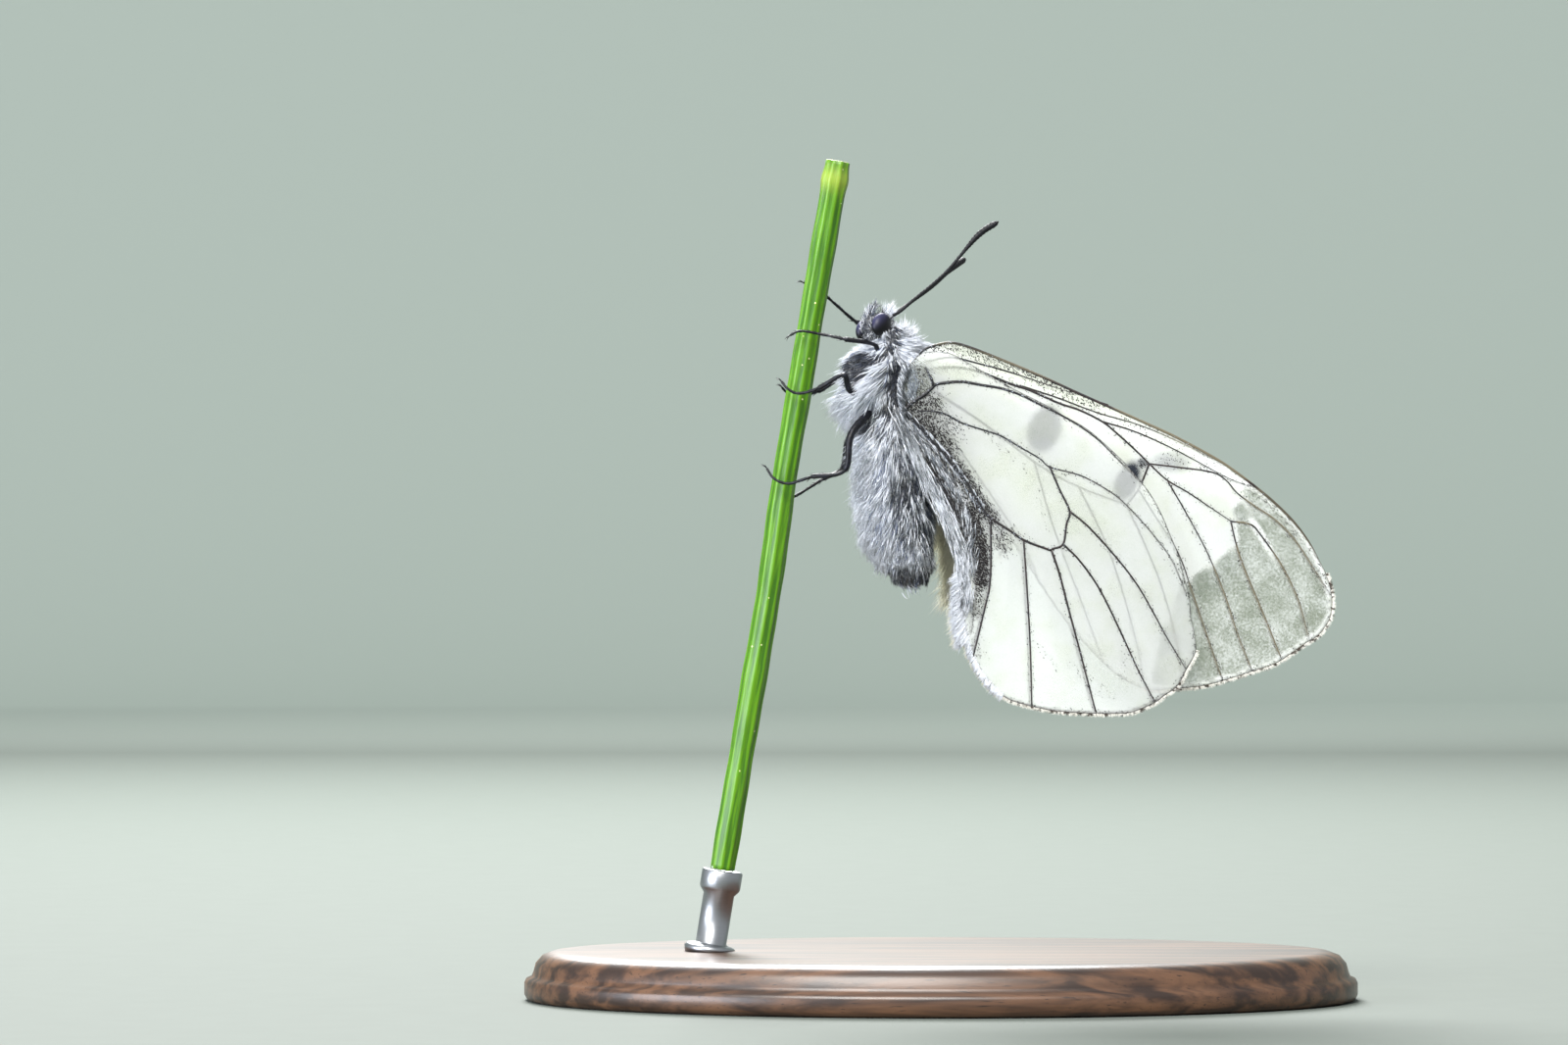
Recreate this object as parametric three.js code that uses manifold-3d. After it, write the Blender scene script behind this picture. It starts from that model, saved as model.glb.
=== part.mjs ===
// A clouded apollo butterfly at rest, wings closed over its back, gripping an upright plant stem.
// Millimetres, +Z up. The head points up, the back faces +X and the left side faces -Y.
// The origin is the middle of the underside of the display base.
import * as THREE from "three";
import { mergeVertices } from "three/addons/utils/BufferGeometryUtils.js";
import Module from "manifold-3d";

const wasm = await Module();
wasm.setup();

// ---------------------------------------------------------------- driving dimensions

const GAP = 0.25; // clear space between neighbouring nodes

const BASE = { length: 51, width: 31, height: 3, bevel: 0.4, segments: 24 };
const ROD = { radius: 0.95, foot: -14.15, cupHeight: 1.4, cupRadius: 1.25, sides: 20 };

// The stem leans and bends a little. Each point is [x, z] on its centre line.
const STEM = {
  line: [[-13.35, 8], [-11.7, 18], [-10.5, 25.2], [-9.6, 31.8], [-8.7, 37.2], [-7.7, 43.2], [-6.3, 51.3]],
  radius: 0.78,
  ribs: 7,
  ribDepth: 0.06,
  steps: 14,
};

// Flesh of the trunk: x is the middle, depth the half size along X, width the half size along Y.
const THORAX = [
  { z: 40.7, x: -3.0, depth: 0.5, width: 0.55 },
  { z: 40.1, x: -3.2, depth: 1.15, width: 1.1 },
  { z: 39.2, x: -3.5, depth: 1.55, width: 1.5 },
  { z: 38.0, x: -3.65, depth: 1.75, width: 1.65 },
  { z: 36.9, x: -3.6, depth: 1.65, width: 1.55 },
  { z: 35.6, x: -3.4, depth: 1.35, width: 1.35 },
];
const ABDOMEN = [
  { z: 35.6, x: -3.4, depth: 1.35, width: 1.35 },
  { z: 34.2, x: -3.2, depth: 1.55, width: 1.5 },
  { z: 32.0, x: -3.0, depth: 1.75, width: 1.65 },
  { z: 29.8, x: -2.85, depth: 1.8, width: 1.65 },
  { z: 28.0, x: -2.7, depth: 1.65, width: 1.5 },
  { z: 26.6, x: -2.35, depth: 1.2, width: 1.15 },
  { z: 25.6, x: -2.1, depth: 0.55, width: 0.55 },
];

// The coat is flat tapered locks over a thin core. A row is a ring of locks round the trunk: shares
// are the first and last row's places along it, and clear is the bare half angle at the back.
const LOCK = { thickness: 0.42, sink: 0.4, profile: [[0, 0.8], [0.38, 1], [0.72, 0.72]], vary: 0.18 };
const COATS = {
  thorax: { core: 0.3, rows: 5, shares: [0.22, 0.94], spacing: 1.08, clear: 0.9 },
  collar: { rows: 2, shares: [0.06, 0.26], spacing: 0.8, clear: 0 },
  abdomen: { core: 0.2, rows: 7, shares: [0.17, 0.97], spacing: 1.45, clear: 0 },
  head: { core: 0.12, rows: [[0.55, 6], [1.15, 9], [1.75, 9]], eyeClear: 0.72 },
  palp: { shares: [0.3, 0.5, 0.68, 0.84, 0.96], turn: 2.4 },
};
const LOCKS = {
  thorax: { length: 1.7, width: 1.05, lift: 0.52 },
  collar: { length: 1.85, width: 0.75, lift: 0.85 },
  abdomen: { length: 2.0, width: 1.2, lift: 0.33 },
  head: { length: 0.95, width: 0.5, lift: 0.62 },
  palp: { length: 0.75, width: 0.36, lift: 0.5 },
};

// The head is turned towards the left, so its side axis leaves the Y axis.
const HEAD = {
  centre: new THREE.Vector3(-4.1, -0.05, 41.1),
  side: new THREE.Vector3(0.58, -0.79, 0.2).normalize(),
  front: new THREE.Vector3(-0.25, 0.05, 0.97),
  radii: [0.72, 0.85, 0.8], // half sizes along the side, the front and the underside
};
// An eye's radii run outwards, along its length and across it; turn leans its length from the front to the crown.
const EYE = { place: [0.92, 0.12, 0.05], radii: [0.4, 0.75, 0.53], turn: (50 * Math.PI) / 180, gap: 0.16 };

// Feelers run through points given as [side, under, front] from the head's middle.
const PALP = {
  line: [[0.18, 0.95, -0.15], [0.24, 1.15, 0.4], [0.26, 0.95, 1.0], [0.28, 0.35, 1.45]],
  radius: 0.27,
  tipShare: 0.45,
};
const ANTENNA = { root: [0.32, -0.45, 0.78], shaft: 0.25, club: 0.3, clubShare: 0.3, tipShare: 0.55 };
const ANTENNAE = {
  antenna_left: {
    side: 1,
    line: [[-2.7, -0.4, 42.0], [-1.7, -0.7, 42.8], [0.3, -0.95, 44.5], [2.2, -1.05, 46.7], [3.5, -1.0, 47.6]],
  },
  antenna_right: {
    side: -1,
    line: [[-2.9, 0.7, 42.0], [-1.8, 1.4, 42.75], [-0.4, 2.7, 43.75], [0.7, 4.3, 44.8], [1.5, 5.7, 45.4]],
  },
};

// Legs as [x, z, distance from the middle plane] from the body over the knee to the shin's end, and
// on along the foot to the claws. Each foot passes one side of the stem and curls round it.
const LEG_RADIUS = { femur: 0.3, tibia: 0.26, tarsus: 0.25, claw: 0.08 };
const LEGS = {
  leg_fore_left: {
    side: -1,
    thigh: [[-4.6, 38.5, 1.2], [-3.95, 40.1, 1.85]],
    foot: [[-5.9, 40.4, 1.7], [-7.3, 40.7, 1.4], [-8.6, 40.9, 1.35], [-9.3, 40.6, 1.1]],
  },
  leg_fore_right: {
    side: 1,
    thigh: [[-4.6, 38.5, 1.5], [-4.1, 41.1, 2.5]],
    foot: [[-5.2, 41.6, 2.2], [-6.4, 42.6, 1.6], [-7.6, 43.6, 1.35], [-8.5, 44.0, 1.1]],
  },
  leg_mid_left: {
    side: -1,
    thigh: [[-4.7, 36.9, 1.5], [-6.0, 38.2, 2.3]],
    foot: [[-7.5, 37.4, 1.8], [-8.7, 37.1, 1.4], [-9.4, 37.4, 1.3], [-9.8, 37.9, 1.05]],
  },
  leg_mid_right: {
    side: 1,
    thigh: [[-4.7, 36.9, 1.5], [-6.0, 38.0, 2.3]],
    foot: [[-7.5, 37.3, 1.8], [-8.7, 37.0, 1.4], [-9.4, 37.2, 1.3], [-9.8, 37.6, 1.05]],
  },
  leg_hind_left: {
    side: -1,
    thigh: [[-4.2, 36.1, 1.4], [-5.5, 34.6, 2.5], [-5.9, 32.4, 2.6]],
    foot: [[-7.9, 32.0, 2.0], [-9.3, 31.6, 1.45], [-10.2, 31.9, 1.3], [-10.7, 32.6, 1.0]],
  },
  leg_hind_right: {
    side: 1,
    thigh: [[-4.2, 36.1, 1.4], [-5.6, 34.4, 2.5], [-6.0, 32.6, 2.6]],
    foot: [[-7.2, 31.9, 2.1], [-8.8, 30.9, 1.5], [-9.6, 30.6, 1.35], [-10.2, 30.4, 1.05]],
  },
};

// Wing outlines and veins as [x, z]. An outline runs once round from the base along the front edge.
const WING = { thickness: 0.5, cell: 5.2, samples: 46, bow: 0.45, bowReach: 29, flareReach: 8, base: [-2.3, 38] };
const VEIN = { halfWidth: 0.36, proud: 0.17, endShare: 0.6, step: 5 };
const FOREWING = {
  layer: 0.55,
  flare: 0.45,
  outline: [
    [-2.3, 38.4], [-1.6, 39.5], [0.7, 40.2], [5.1, 38.6], [12.0, 35.5], [18.3, 32.0], [22.5, 28.2], [23.9, 24.4],
    [23.3, 22.8], [21.6, 21.4], [16.2, 19.5], [10.8, 19.3], [6.5, 21.8], [3.3, 26.7], [-0.3, 34.5], [-1.8, 37.2],
  ],
  veins: {
    subcosta: [[-1.5, 38.9], [1.3, 39.2], [6.7, 37.5], [10.0, 36.2]],
    radius: [[-1.8, 38.4], [2.7, 38.3], [8.5, 36.1], [12.7, 32.8]],
    radial1: [[6.0, 37.2], [12.0, 35.0], [17.2, 32.3]],
    radial2: [[9.8, 35.5], [14.4, 33.5], [19.3, 30.5]],
    radial3: [[12.7, 32.8], [16.8, 32.0], [19.8, 30.0], [23.1, 25.9]],
    radialStalk: [[12.7, 32.8], [13.8, 31.7], [17.7, 29.3]],
    radial4: [[17.7, 29.3], [20.2, 27.6], [22.4, 22.7]],
    radial5: [[17.7, 29.3], [19.1, 25.4], [20.4, 21.4]],
    medial1: [[13.8, 31.7], [16.0, 28.2], [18.6, 20.8]],
    cellEnd: [[12.7, 32.8], [11.9, 31.5], [11.2, 30.2]],
    medial2: [[11.9, 31.5], [14.6, 27.0], [16.9, 20.2]],
    cubitus: [[-1.9, 38.0], [2.7, 34.6], [5.8, 31.9], [11.2, 30.2]],
    medial3: [[11.2, 30.2], [13.2, 25.0], [14.4, 19.9]],
    cubital1: [[8.6, 30.9], [10.4, 25.5], [11.9, 19.9]],
    cubital2: [[5.8, 31.9], [7.0, 26.4], [8.8, 20.8]],
    anal: [[-1.8, 37.7], [1.6, 30.9], [5.2, 24.4]],
  },
};
const HINDWING = {
  layer: 1.65,
  flare: 0.4,
  outline: [
    [-2.4, 37.3], [-2.0, 39.0], [-0.7, 39.6], [2.4, 38.7], [7.5, 36.1], [12.0, 32.2], [14.8, 26.7], [15.4, 21.5],
    [13.2, 18.5], [8.7, 17.4], [3.6, 18.7], [1.4, 21.9], [1.4, 25.8], [0.5, 29.7], [-1.7, 34.8], [-2.4, 36.3],
  ],
  veins: {
    subcosta: [[-2.0, 36.6], [-0.6, 37.4], [2.6, 37.5], [7.3, 35.8], [11.4, 32.4], [14.3, 27.4]],
    humeral: [[-0.5, 37.5], [-0.7, 38.2], [-1.0, 38.9]],
    radius: [[-2.0, 36.5], [2.2, 35.1], [6.5, 32.7], [11.3, 30.2], [14.6, 24.8]],
    cellEnd: [[6.5, 32.7], [7.9, 29.8], [7.4, 27.8], [6.7, 27.5]],
    medial1: [[7.9, 29.8], [11.5, 26.0], [14.4, 20.9]],
    medial2: [[7.4, 27.8], [10.6, 23.5], [12.8, 19.1]],
    medial3: [[6.7, 27.5], [8.4, 22.0], [9.3, 18.1]],
    cubitus: [[-2.0, 36.4], [0.6, 33.0], [2.9, 29.5], [6.7, 27.5]],
    cubital1: [[5.0, 28.1], [5.3, 23.0], [5.4, 18.6]],
    cubital2: [[2.9, 29.5], [3.0, 26.0], [2.2, 21.8]],
    anal: [[-1.9, 36.0], [0.2, 32.2], [1.8, 27.5], [1.9, 22.9]],
  },
};

const FINISHES = {
  whiteHair: new THREE.MeshStandardMaterial({ color: 0xe4ddcc, roughness: 0.95 }),
  greyHair: new THREE.MeshStandardMaterial({ color: 0x8f9096, roughness: 0.95 }),
  eye: new THREE.MeshStandardMaterial({ color: 0x1c1a2b, roughness: 0.2 }),
  feeler: new THREE.MeshStandardMaterial({ color: 0x15120f, roughness: 0.7 }),
  leg: new THREE.MeshStandardMaterial({ color: 0x5d5548, roughness: 0.7 }),
  wing: new THREE.MeshStandardMaterial({ color: 0xe9e6dc, roughness: 0.6 }),
  stem: new THREE.MeshStandardMaterial({ color: 0x7d9a3c, roughness: 0.55 }),
  rod: new THREE.MeshStandardMaterial({ color: 0xb9bcc0, roughness: 0.35, metalness: 1 }),
  base: new THREE.MeshStandardMaterial({ color: 0x3a3430, roughness: 0.5 }),
};

// ---------------------------------------------------------------- solids

// A closed geometry as a manifold solid.
function solid(geometry) {
  const bare = new THREE.BufferGeometry();
  const loose = geometry.index ? geometry.toNonIndexed() : geometry;
  bare.setAttribute("position", loose.getAttribute("position"));
  const merged = mergeVertices(bare, 1e-4);
  return new wasm.Manifold(
    new wasm.Mesh({
      numProp: 3,
      vertProperties: new Float32Array(merged.attributes.position.array),
      triVerts: new Uint32Array(merged.index.array),
    }),
  );
}

// A manifold solid as a geometry, each vertex moved by warp.
function geometryOf(body, warp = (point) => point) {
  const mesh = body.getMesh();
  const positions = new Float32Array(mesh.numVert * 3);
  const point = new THREE.Vector3();
  for (let i = 0; i < mesh.numVert; i++) {
    point.fromArray(mesh.vertProperties, i * mesh.numProp);
    warp(point).toArray(positions, i * 3);
  }
  const geometry = new THREE.BufferGeometry();
  geometry.setAttribute("position", new THREE.BufferAttribute(positions, 3));
  geometry.setIndex(new THREE.BufferAttribute(new Uint32Array(mesh.triVerts), 1));
  return geometry;
}

function joined(bodies) {
  return bodies.reduce((whole, body) => whole.add(body));
}

function cutBy(body, rooms) {
  return rooms.reduce((rest, room) => rest.subtract(room), body);
}

// The biggest closed surface of a solid.
function largest(body) {
  return body.decompose().reduce((best, piece) => (piece.volume() > best.volume() ? piece : best));
}

function middle(points) {
  const sum = points.reduce((total, point) => total.add(point), new THREE.Vector3());
  return sum.divideScalar(points.length);
}

function enclosedVolume(points, faces) {
  let sum = 0;
  for (let i = 0; i < faces.length; i += 3) {
    const [a, b, c] = [points[faces[i]], points[faces[i + 1]], points[faces[i + 2]]];
    sum += a.dot(new THREE.Vector3().crossVectors(b, c));
  }
  return sum / 6;
}

// A closed skin over rings of equal count, ended by the points first and last.
function skin(rings, first = middle(rings[0]), last = middle(rings.at(-1))) {
  const sides = rings[0].length;
  const points = [first, ...rings.flat(), last];
  const end = points.length - 1;
  const at = (row, side) => 1 + row * sides + (side % sides);
  const faces = [];
  for (let side = 0; side < sides; side++) {
    faces.push(0, at(0, side + 1), at(0, side));
    faces.push(end, at(rings.length - 1, side), at(rings.length - 1, side + 1));
    for (let row = 0; row < rings.length - 1; row++) {
      faces.push(at(row, side), at(row, side + 1), at(row + 1, side + 1));
      faces.push(at(row, side), at(row + 1, side + 1), at(row + 1, side));
    }
  }
  if (enclosedVolume(points, faces) < 0) faces.reverse();
  const geometry = new THREE.BufferGeometry().setFromPoints(points);
  geometry.setIndex(faces);
  return geometry;
}

function ring(centre, across, along, sides) {
  return Array.from({ length: sides }, (_, i) => {
    const turn = (i / sides) * 2 * Math.PI;
    return centre.clone().addScaledVector(across, Math.cos(turn)).addScaledVector(along, Math.sin(turn));
  });
}

// A round tube along a curve with rounded ends. radiusAt takes the share of the way, 0 to 1.
function tube(curve, radiusAt, steps, sides, grow) {
  const rings = [];
  const across = new THREE.Vector3(0.3, 1, 0.1);
  const along = new THREE.Vector3();
  for (let i = 0; i <= steps; i++) {
    const share = i / steps;
    const tangent = curve.getTangent(share);
    along.crossVectors(tangent, across).normalize();
    across.crossVectors(along, tangent).normalize();
    const radius = radiusAt(share) + grow;
    const [u, v] = [across.clone().multiplyScalar(radius), along.clone().multiplyScalar(radius)];
    rings.push(ring(curve.getPoint(share), u, v, sides));
  }
  const start = curve.getPoint(0).addScaledVector(curve.getTangent(0), -radiusAt(0) * 0.5 - grow);
  const stop = curve.getPoint(1).addScaledVector(curve.getTangent(1), radiusAt(1) * 0.5 + grow);
  return solid(skin(rings, start, stop));
}

// An ellipsoid with its three axes and half sizes.
function ellipsoid(centre, axes, radii, grow) {
  const geometry = new THREE.SphereGeometry(1, 14, 10);
  const [u, v, w] = axes.map((axis, i) => axis.clone().multiplyScalar(radii[i] + grow));
  geometry.applyMatrix4(new THREE.Matrix4().makeBasis(u, v, w).setPosition(centre));
  return solid(geometry);
}

// ---------------------------------------------------------------- coat

// Draws between -1 and 1 that are the same on every run.
function seededDraws(seed) {
  let state = seed;
  return () => {
    state = (Math.imul(state, 1664525) + 1013904223) >>> 0;
    return state / 2 ** 31 - 1;
  };
}

// A flat tapered lock that leaves a surface at root, first outwards and then along its lie.
function lock(root, normal, lie, size, draw) {
  const length = size.length * (1 + LOCK.vary * draw());
  const width = size.width * (1 + LOCK.vary * draw());
  const leave = normal.clone().multiplyScalar(size.lift).addScaledVector(lie, 1 - size.lift).normalize();
  const droop = leave.clone().addScaledVector(lie, 0.9).normalize();
  const start = root.clone().addScaledVector(normal, -LOCK.sink);
  const bend = root.clone().addScaledVector(leave, length * 0.45);
  const tip = bend.clone().addScaledVector(droop, length * 0.55);
  const curve = new THREE.QuadraticBezierCurve3(start, bend, tip);
  const across = new THREE.Vector3().crossVectors(lie, normal).normalize();
  const rings = LOCK.profile.map(([share, part]) => {
    const flat = new THREE.Vector3().crossVectors(across, curve.getTangent(share));
    const half = across.clone().multiplyScalar((width / 2) * part);
    return ring(curve.getPoint(share), half, flat.multiplyScalar((LOCK.thickness / 2) * part), 4);
  });
  return solid(skin(rings, start, tip));
}

// The trunk's surface through its stations: a point for each share of the way and turn about it.
function trunkSurface(stations, grow) {
  const line = new THREE.CatmullRomCurve3(stations.map((s) => new THREE.Vector3(s.x, 0, s.z)));
  const size = new THREE.CatmullRomCurve3(stations.map((s) => new THREE.Vector3(s.depth, s.width, 0)));
  return (share, turn) => {
    const girth = size.getPoint(share);
    const [x, y] = [(girth.x + grow) * Math.cos(turn), (girth.y + grow) * Math.sin(turn)];
    return line.getPoint(share).add(new THREE.Vector3(x, y, 0));
  };
}

function trunk(stations, grow, steps, sides) {
  const surface = trunkSurface(stations, grow);
  const rings = Array.from({ length: steps + 1 }, (_, i) =>
    Array.from({ length: sides }, (_, side) => surface(i / steps, (side / sides) * 2 * Math.PI)),
  );
  return solid(skin(rings));
}

// Rows of locks round the trunk. lean is +1 where they lie towards the tail and -1 towards the head.
function trunkLocks(stations, coat, size, lean, draw) {
  const surface = trunkSurface(stations, coat.core ?? COATS.thorax.core);
  const locks = [];
  for (let row = 0; row < coat.rows; row++) {
    const share = THREE.MathUtils.lerp(...coat.shares, row / (coat.rows - 1));
    const reach = Math.PI - coat.clear;
    const girth = surface(share, Math.PI / 2).y;
    const count = Math.max(3, Math.round((2 * reach * girth) / coat.spacing));
    for (let i = 0; i < count; i++) {
      const turn = Math.PI + reach * ((2 * (i + 0.5 + (row % 2) / 2)) / count - 1) + 0.08 * draw();
      const root = surface(share, turn);
      const rear = surface(share + 0.01, turn).sub(surface(share - 0.01, turn)).normalize();
      const round = surface(share, turn + 0.01).sub(root).normalize();
      const normal = new THREE.Vector3().crossVectors(rear, round).normalize();
      if (normal.dot(root.clone().sub(surface(share, turn + Math.PI))) < 0) normal.negate();
      locks.push(lock(root, normal, rear.multiplyScalar(lean), size, draw));
    }
  }
  return joined(locks);
}

// ---------------------------------------------------------------- head

const headFront = HEAD.front.clone().addScaledVector(HEAD.side, -HEAD.front.dot(HEAD.side)).normalize();
const headUnder = new THREE.Vector3().crossVectors(HEAD.side, headFront);
const headAxes = [HEAD.side, headFront, headUnder];

function headDirection(side, under, front) {
  const direction = HEAD.side.clone().multiplyScalar(side);
  return direction.addScaledVector(headUnder, under).addScaledVector(headFront, front);
}

function headPoint(side, under, front) {
  return headDirection(side, under, front).add(HEAD.centre);
}

function headCore(grow) {
  return ellipsoid(HEAD.centre, headAxes, HEAD.radii, grow);
}

// Rings of locks about the head's front axis, left out where the eyes are.
function headLocks(draw) {
  const locks = [];
  for (const [slope, count] of COATS.head.rows) {
    for (let i = 0; i < count; i++) {
      const turn = ((i + 0.5) / count) * 2 * Math.PI;
      const [side, under] = [Math.sin(slope) * Math.sin(turn), Math.sin(slope) * Math.cos(turn)];
      if (Math.abs(side) > COATS.head.eyeClear) continue;
      const [wide, long, deep] = HEAD.radii.map((radius) => radius + COATS.head.core);
      const root = headPoint(side * wide, under * deep, Math.cos(slope) * long);
      const normal = headDirection(side / wide, under / deep, Math.cos(slope) / long).normalize();
      const lie = headFront.clone().addScaledVector(normal, -headFront.dot(normal)).normalize();
      locks.push(lock(root, normal, lie, LOCKS.head, draw));
    }
  }
  return joined(locks);
}

function eye(side, grow = 0) {
  const [outward, under, front] = EYE.place;
  const long = headDirection(0, -Math.sin(EYE.turn), Math.cos(EYE.turn));
  const short = headDirection(0, Math.cos(EYE.turn), Math.sin(EYE.turn));
  return ellipsoid(headPoint(side * outward, under, front), [HEAD.side, long, short], EYE.radii, grow);
}

function palpLine(side) {
  return new THREE.CatmullRomCurve3(PALP.line.map(([out, under, front]) => headPoint(side * out, under, front)));
}

function palp(side, grow = 0) {
  const radius = (share) => PALP.radius * THREE.MathUtils.lerp(1, PALP.tipShare, share ** 2);
  return tube(palpLine(side), radius, 5, 8, grow);
}

// A palp's bristles, set in a spiral and leaning towards its tip.
function palpLocks(side, draw) {
  const line = palpLine(side);
  const locks = COATS.palp.shares.map((share, i) => {
    const lie = line.getTangent(share);
    const turn = i * COATS.palp.turn;
    const spoke = headDirection(Math.cos(turn), Math.sin(turn), 0);
    const normal = spoke.addScaledVector(lie, -spoke.dot(lie)).normalize();
    const root = line.getPoint(share).addScaledVector(normal, PALP.radius / 2);
    return lock(root, normal, lie, LOCKS.palp, draw);
  });
  return joined(locks);
}

function antenna(name, grow = 0) {
  const { side, line } = ANTENNAE[name];
  const [out, under, front] = ANTENNA.root;
  const points = [headPoint(side * out, under, front), ...line.map((point) => new THREE.Vector3(...point))];
  const radius = (share) => {
    if (share > 0.97) return ANTENNA.club * ANTENNA.tipShare;
    const club = THREE.MathUtils.smoothstep(share, 1 - ANTENNA.clubShare, 0.92);
    return THREE.MathUtils.lerp(ANTENNA.shaft, ANTENNA.club, club);
  };
  return tube(new THREE.CatmullRomCurve3(points), radius, 12, 7, grow);
}

// ---------------------------------------------------------------- legs

function leg(name, grow = 0) {
  const { side, thigh, foot } = LEGS[name];
  const points = [...thigh, ...foot].map(([x, z, y]) => new THREE.Vector3(x, side * y, z));
  const curve = new THREE.CatmullRomCurve3(points, false, "catmullrom", 0.3);
  const spans = points.length - 1;
  const knee = thigh.length - 1;
  const radius = (share) => {
    if (share > 0.97) return LEG_RADIUS.claw;
    if (share * spans <= knee) return LEG_RADIUS.femur;
    return share * spans <= knee + 1 ? LEG_RADIUS.tibia : LEG_RADIUS.tarsus;
  };
  return tube(curve, radius, spans * 2, 7, grow);
}

// ---------------------------------------------------------------- wings

function outlinePoints(outline, grow) {
  const curve = new THREE.CatmullRomCurve3(outline.map(([x, z]) => new THREE.Vector3(x, z, 0)), true);
  return Array.from({ length: WING.samples }, (_, i) => {
    const tangent = curve.getTangentAt(i / WING.samples);
    const place = curve.getPointAt(i / WING.samples);
    return new THREE.Vector2(place.x - tangent.y * grow, place.y + tangent.x * grow);
  });
}

// How far a wing lies from the middle plane at [x, z].
function wingLift(wing, x, z) {
  const reach = Math.hypot(x - WING.base[0], z - WING.base[1]);
  const flare = wing.flare * (1 - THREE.MathUtils.smoothstep(reach, 0, WING.flareReach));
  const bow = WING.bow * Math.sin(Math.PI * THREE.MathUtils.clamp(reach / WING.bowReach, 0, 1)) ** 2;
  return wing.layer + flare + bow;
}

// A flat slab of the outline in the XZ plane, its faces in cells so that it can bend.
function wingBlank(outline, thickness, grow) {
  const edge = outlinePoints(outline, grow);
  const prism = new THREE.ExtrudeGeometry(new THREE.Shape(edge), { depth: 8, bevelEnabled: false, steps: 1 });
  prism.rotateX(Math.PI / 2).translate(0, 4, 0);
  const box = new THREE.Box2().setFromPoints(edge).expandByScalar(1);
  const size = box.getSize(new THREE.Vector2());
  const centre = box.getCenter(new THREE.Vector2());
  const cells = [size.x, size.y].map((length) => Math.ceil(length / WING.cell));
  const slab = new THREE.BoxGeometry(size.x, thickness, size.y, cells[0], 1, cells[1]);
  slab.translate(centre.x, 0, centre.y);
  return solid(slab).intersect(solid(prism));
}

// A bar of diamond section along a vein, a ridge on both faces of the membrane.
function vein(points) {
  const curve = new THREE.CatmullRomCurve3(points.map(([x, z]) => new THREE.Vector3(x, 0, z)));
  const steps = Math.max(1, Math.round(curve.getLength() / VEIN.step));
  const rings = [];
  for (let i = 0; i <= steps; i++) {
    const share = i / steps;
    const tangent = curve.getTangentAt(share);
    const taper = THREE.MathUtils.lerp(1, VEIN.endShare, share);
    const across = new THREE.Vector3(-tangent.z, 0, tangent.x).multiplyScalar(VEIN.halfWidth * taper);
    const crest = new THREE.Vector3(0, WING.thickness / 2 + VEIN.proud * taper, 0);
    rings.push(ring(curve.getPointAt(share), across, crest, 4));
  }
  return solid(skin(rings));
}

function bend(wing, side) {
  return (point) => point.setY(point.y + side * wingLift(wing, point.x, point.z));
}

function wingGeometry(wing, side) {
  const blank = wingBlank(wing.outline, WING.thickness, 0);
  return geometryOf(joined([blank, ...Object.values(wing.veins).map(vein)]), bend(wing, side));
}

// The room that a wing takes, with the gap round it.
function wingRoom(wing, side) {
  const thickness = WING.thickness + 2 * (VEIN.proud + GAP);
  return solid(geometryOf(wingBlank(wing.outline, thickness, GAP), bend(wing, side)));
}

// ---------------------------------------------------------------- stem and stand

function stemGeometry() {
  const line = new THREE.CatmullRomCurve3(STEM.line.map(([x, z]) => new THREE.Vector3(x, 0, z)));
  const sides = STEM.ribs * 2;
  const rings = Array.from({ length: STEM.steps + 1 }, (_, i) => {
    const place = line.getPointAt(i / STEM.steps);
    const points = ring(place, new THREE.Vector3(1, 0, 0), new THREE.Vector3(0, 1, 0), sides);
    const radius = (side) => STEM.radius - (side % 2) * STEM.ribDepth;
    return points.map((point, side) => point.sub(place).multiplyScalar(radius(side)).add(place));
  });
  return skin(rings);
}

// A short rod with a wider cup at its top, under the cut end of the stem.
function rodGeometry() {
  const [topX, topZ] = STEM.line[0];
  const foot = new THREE.Vector3(ROD.foot, 0, BASE.height + GAP);
  const top = new THREE.Vector3(topX, 0, topZ - GAP);
  const neck = top.clone().lerp(foot, ROD.cupHeight / top.distanceTo(foot));
  const level = (place, radius) =>
    ring(place, new THREE.Vector3(radius, 0, 0), new THREE.Vector3(0, radius, 0), ROD.sides);
  return skin([
    level(foot, ROD.radius),
    level(neck, ROD.radius),
    level(neck.clone().lerp(top, 0.35), ROD.cupRadius),
    level(top, ROD.cupRadius),
  ]);
}

function baseGeometry() {
  const shape = new THREE.Shape();
  const [halfLength, halfWidth] = [BASE.length / 2 - BASE.bevel, BASE.width / 2 - BASE.bevel];
  shape.absellipse(0, 0, halfLength, halfWidth, 0, 2 * Math.PI);
  const geometry = new THREE.ExtrudeGeometry(shape, {
    depth: BASE.height - 2 * BASE.bevel,
    bevelThickness: BASE.bevel,
    bevelSize: BASE.bevel,
    bevelSegments: 1,
    curveSegments: BASE.segments,
    steps: 1,
  });
  return geometry.translate(0, 0, BASE.bevel);
}

// ---------------------------------------------------------------- trunk, head and palps

// The half space above or below the cut between thorax and abdomen.
function halfSpace(above) {
  const size = 40;
  const shift = (above ? 1 : -1) * (size + GAP) / 2;
  return solid(new THREE.BoxGeometry(size, size, size).translate(0, 0, THORAX.at(-1).z + shift));
}

const feelerRooms = Object.keys(ANTENNAE).map((name) => antenna(name, GAP));
const legRooms = Object.keys(LEGS).map((name) => leg(name, GAP));
const eyeRooms = [1, -1].map((side) => eye(side, EYE.gap));
const wingRooms = [-1, 1].flatMap((side) => [wingRoom(FOREWING, side), wingRoom(HINDWING, side)]);

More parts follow.
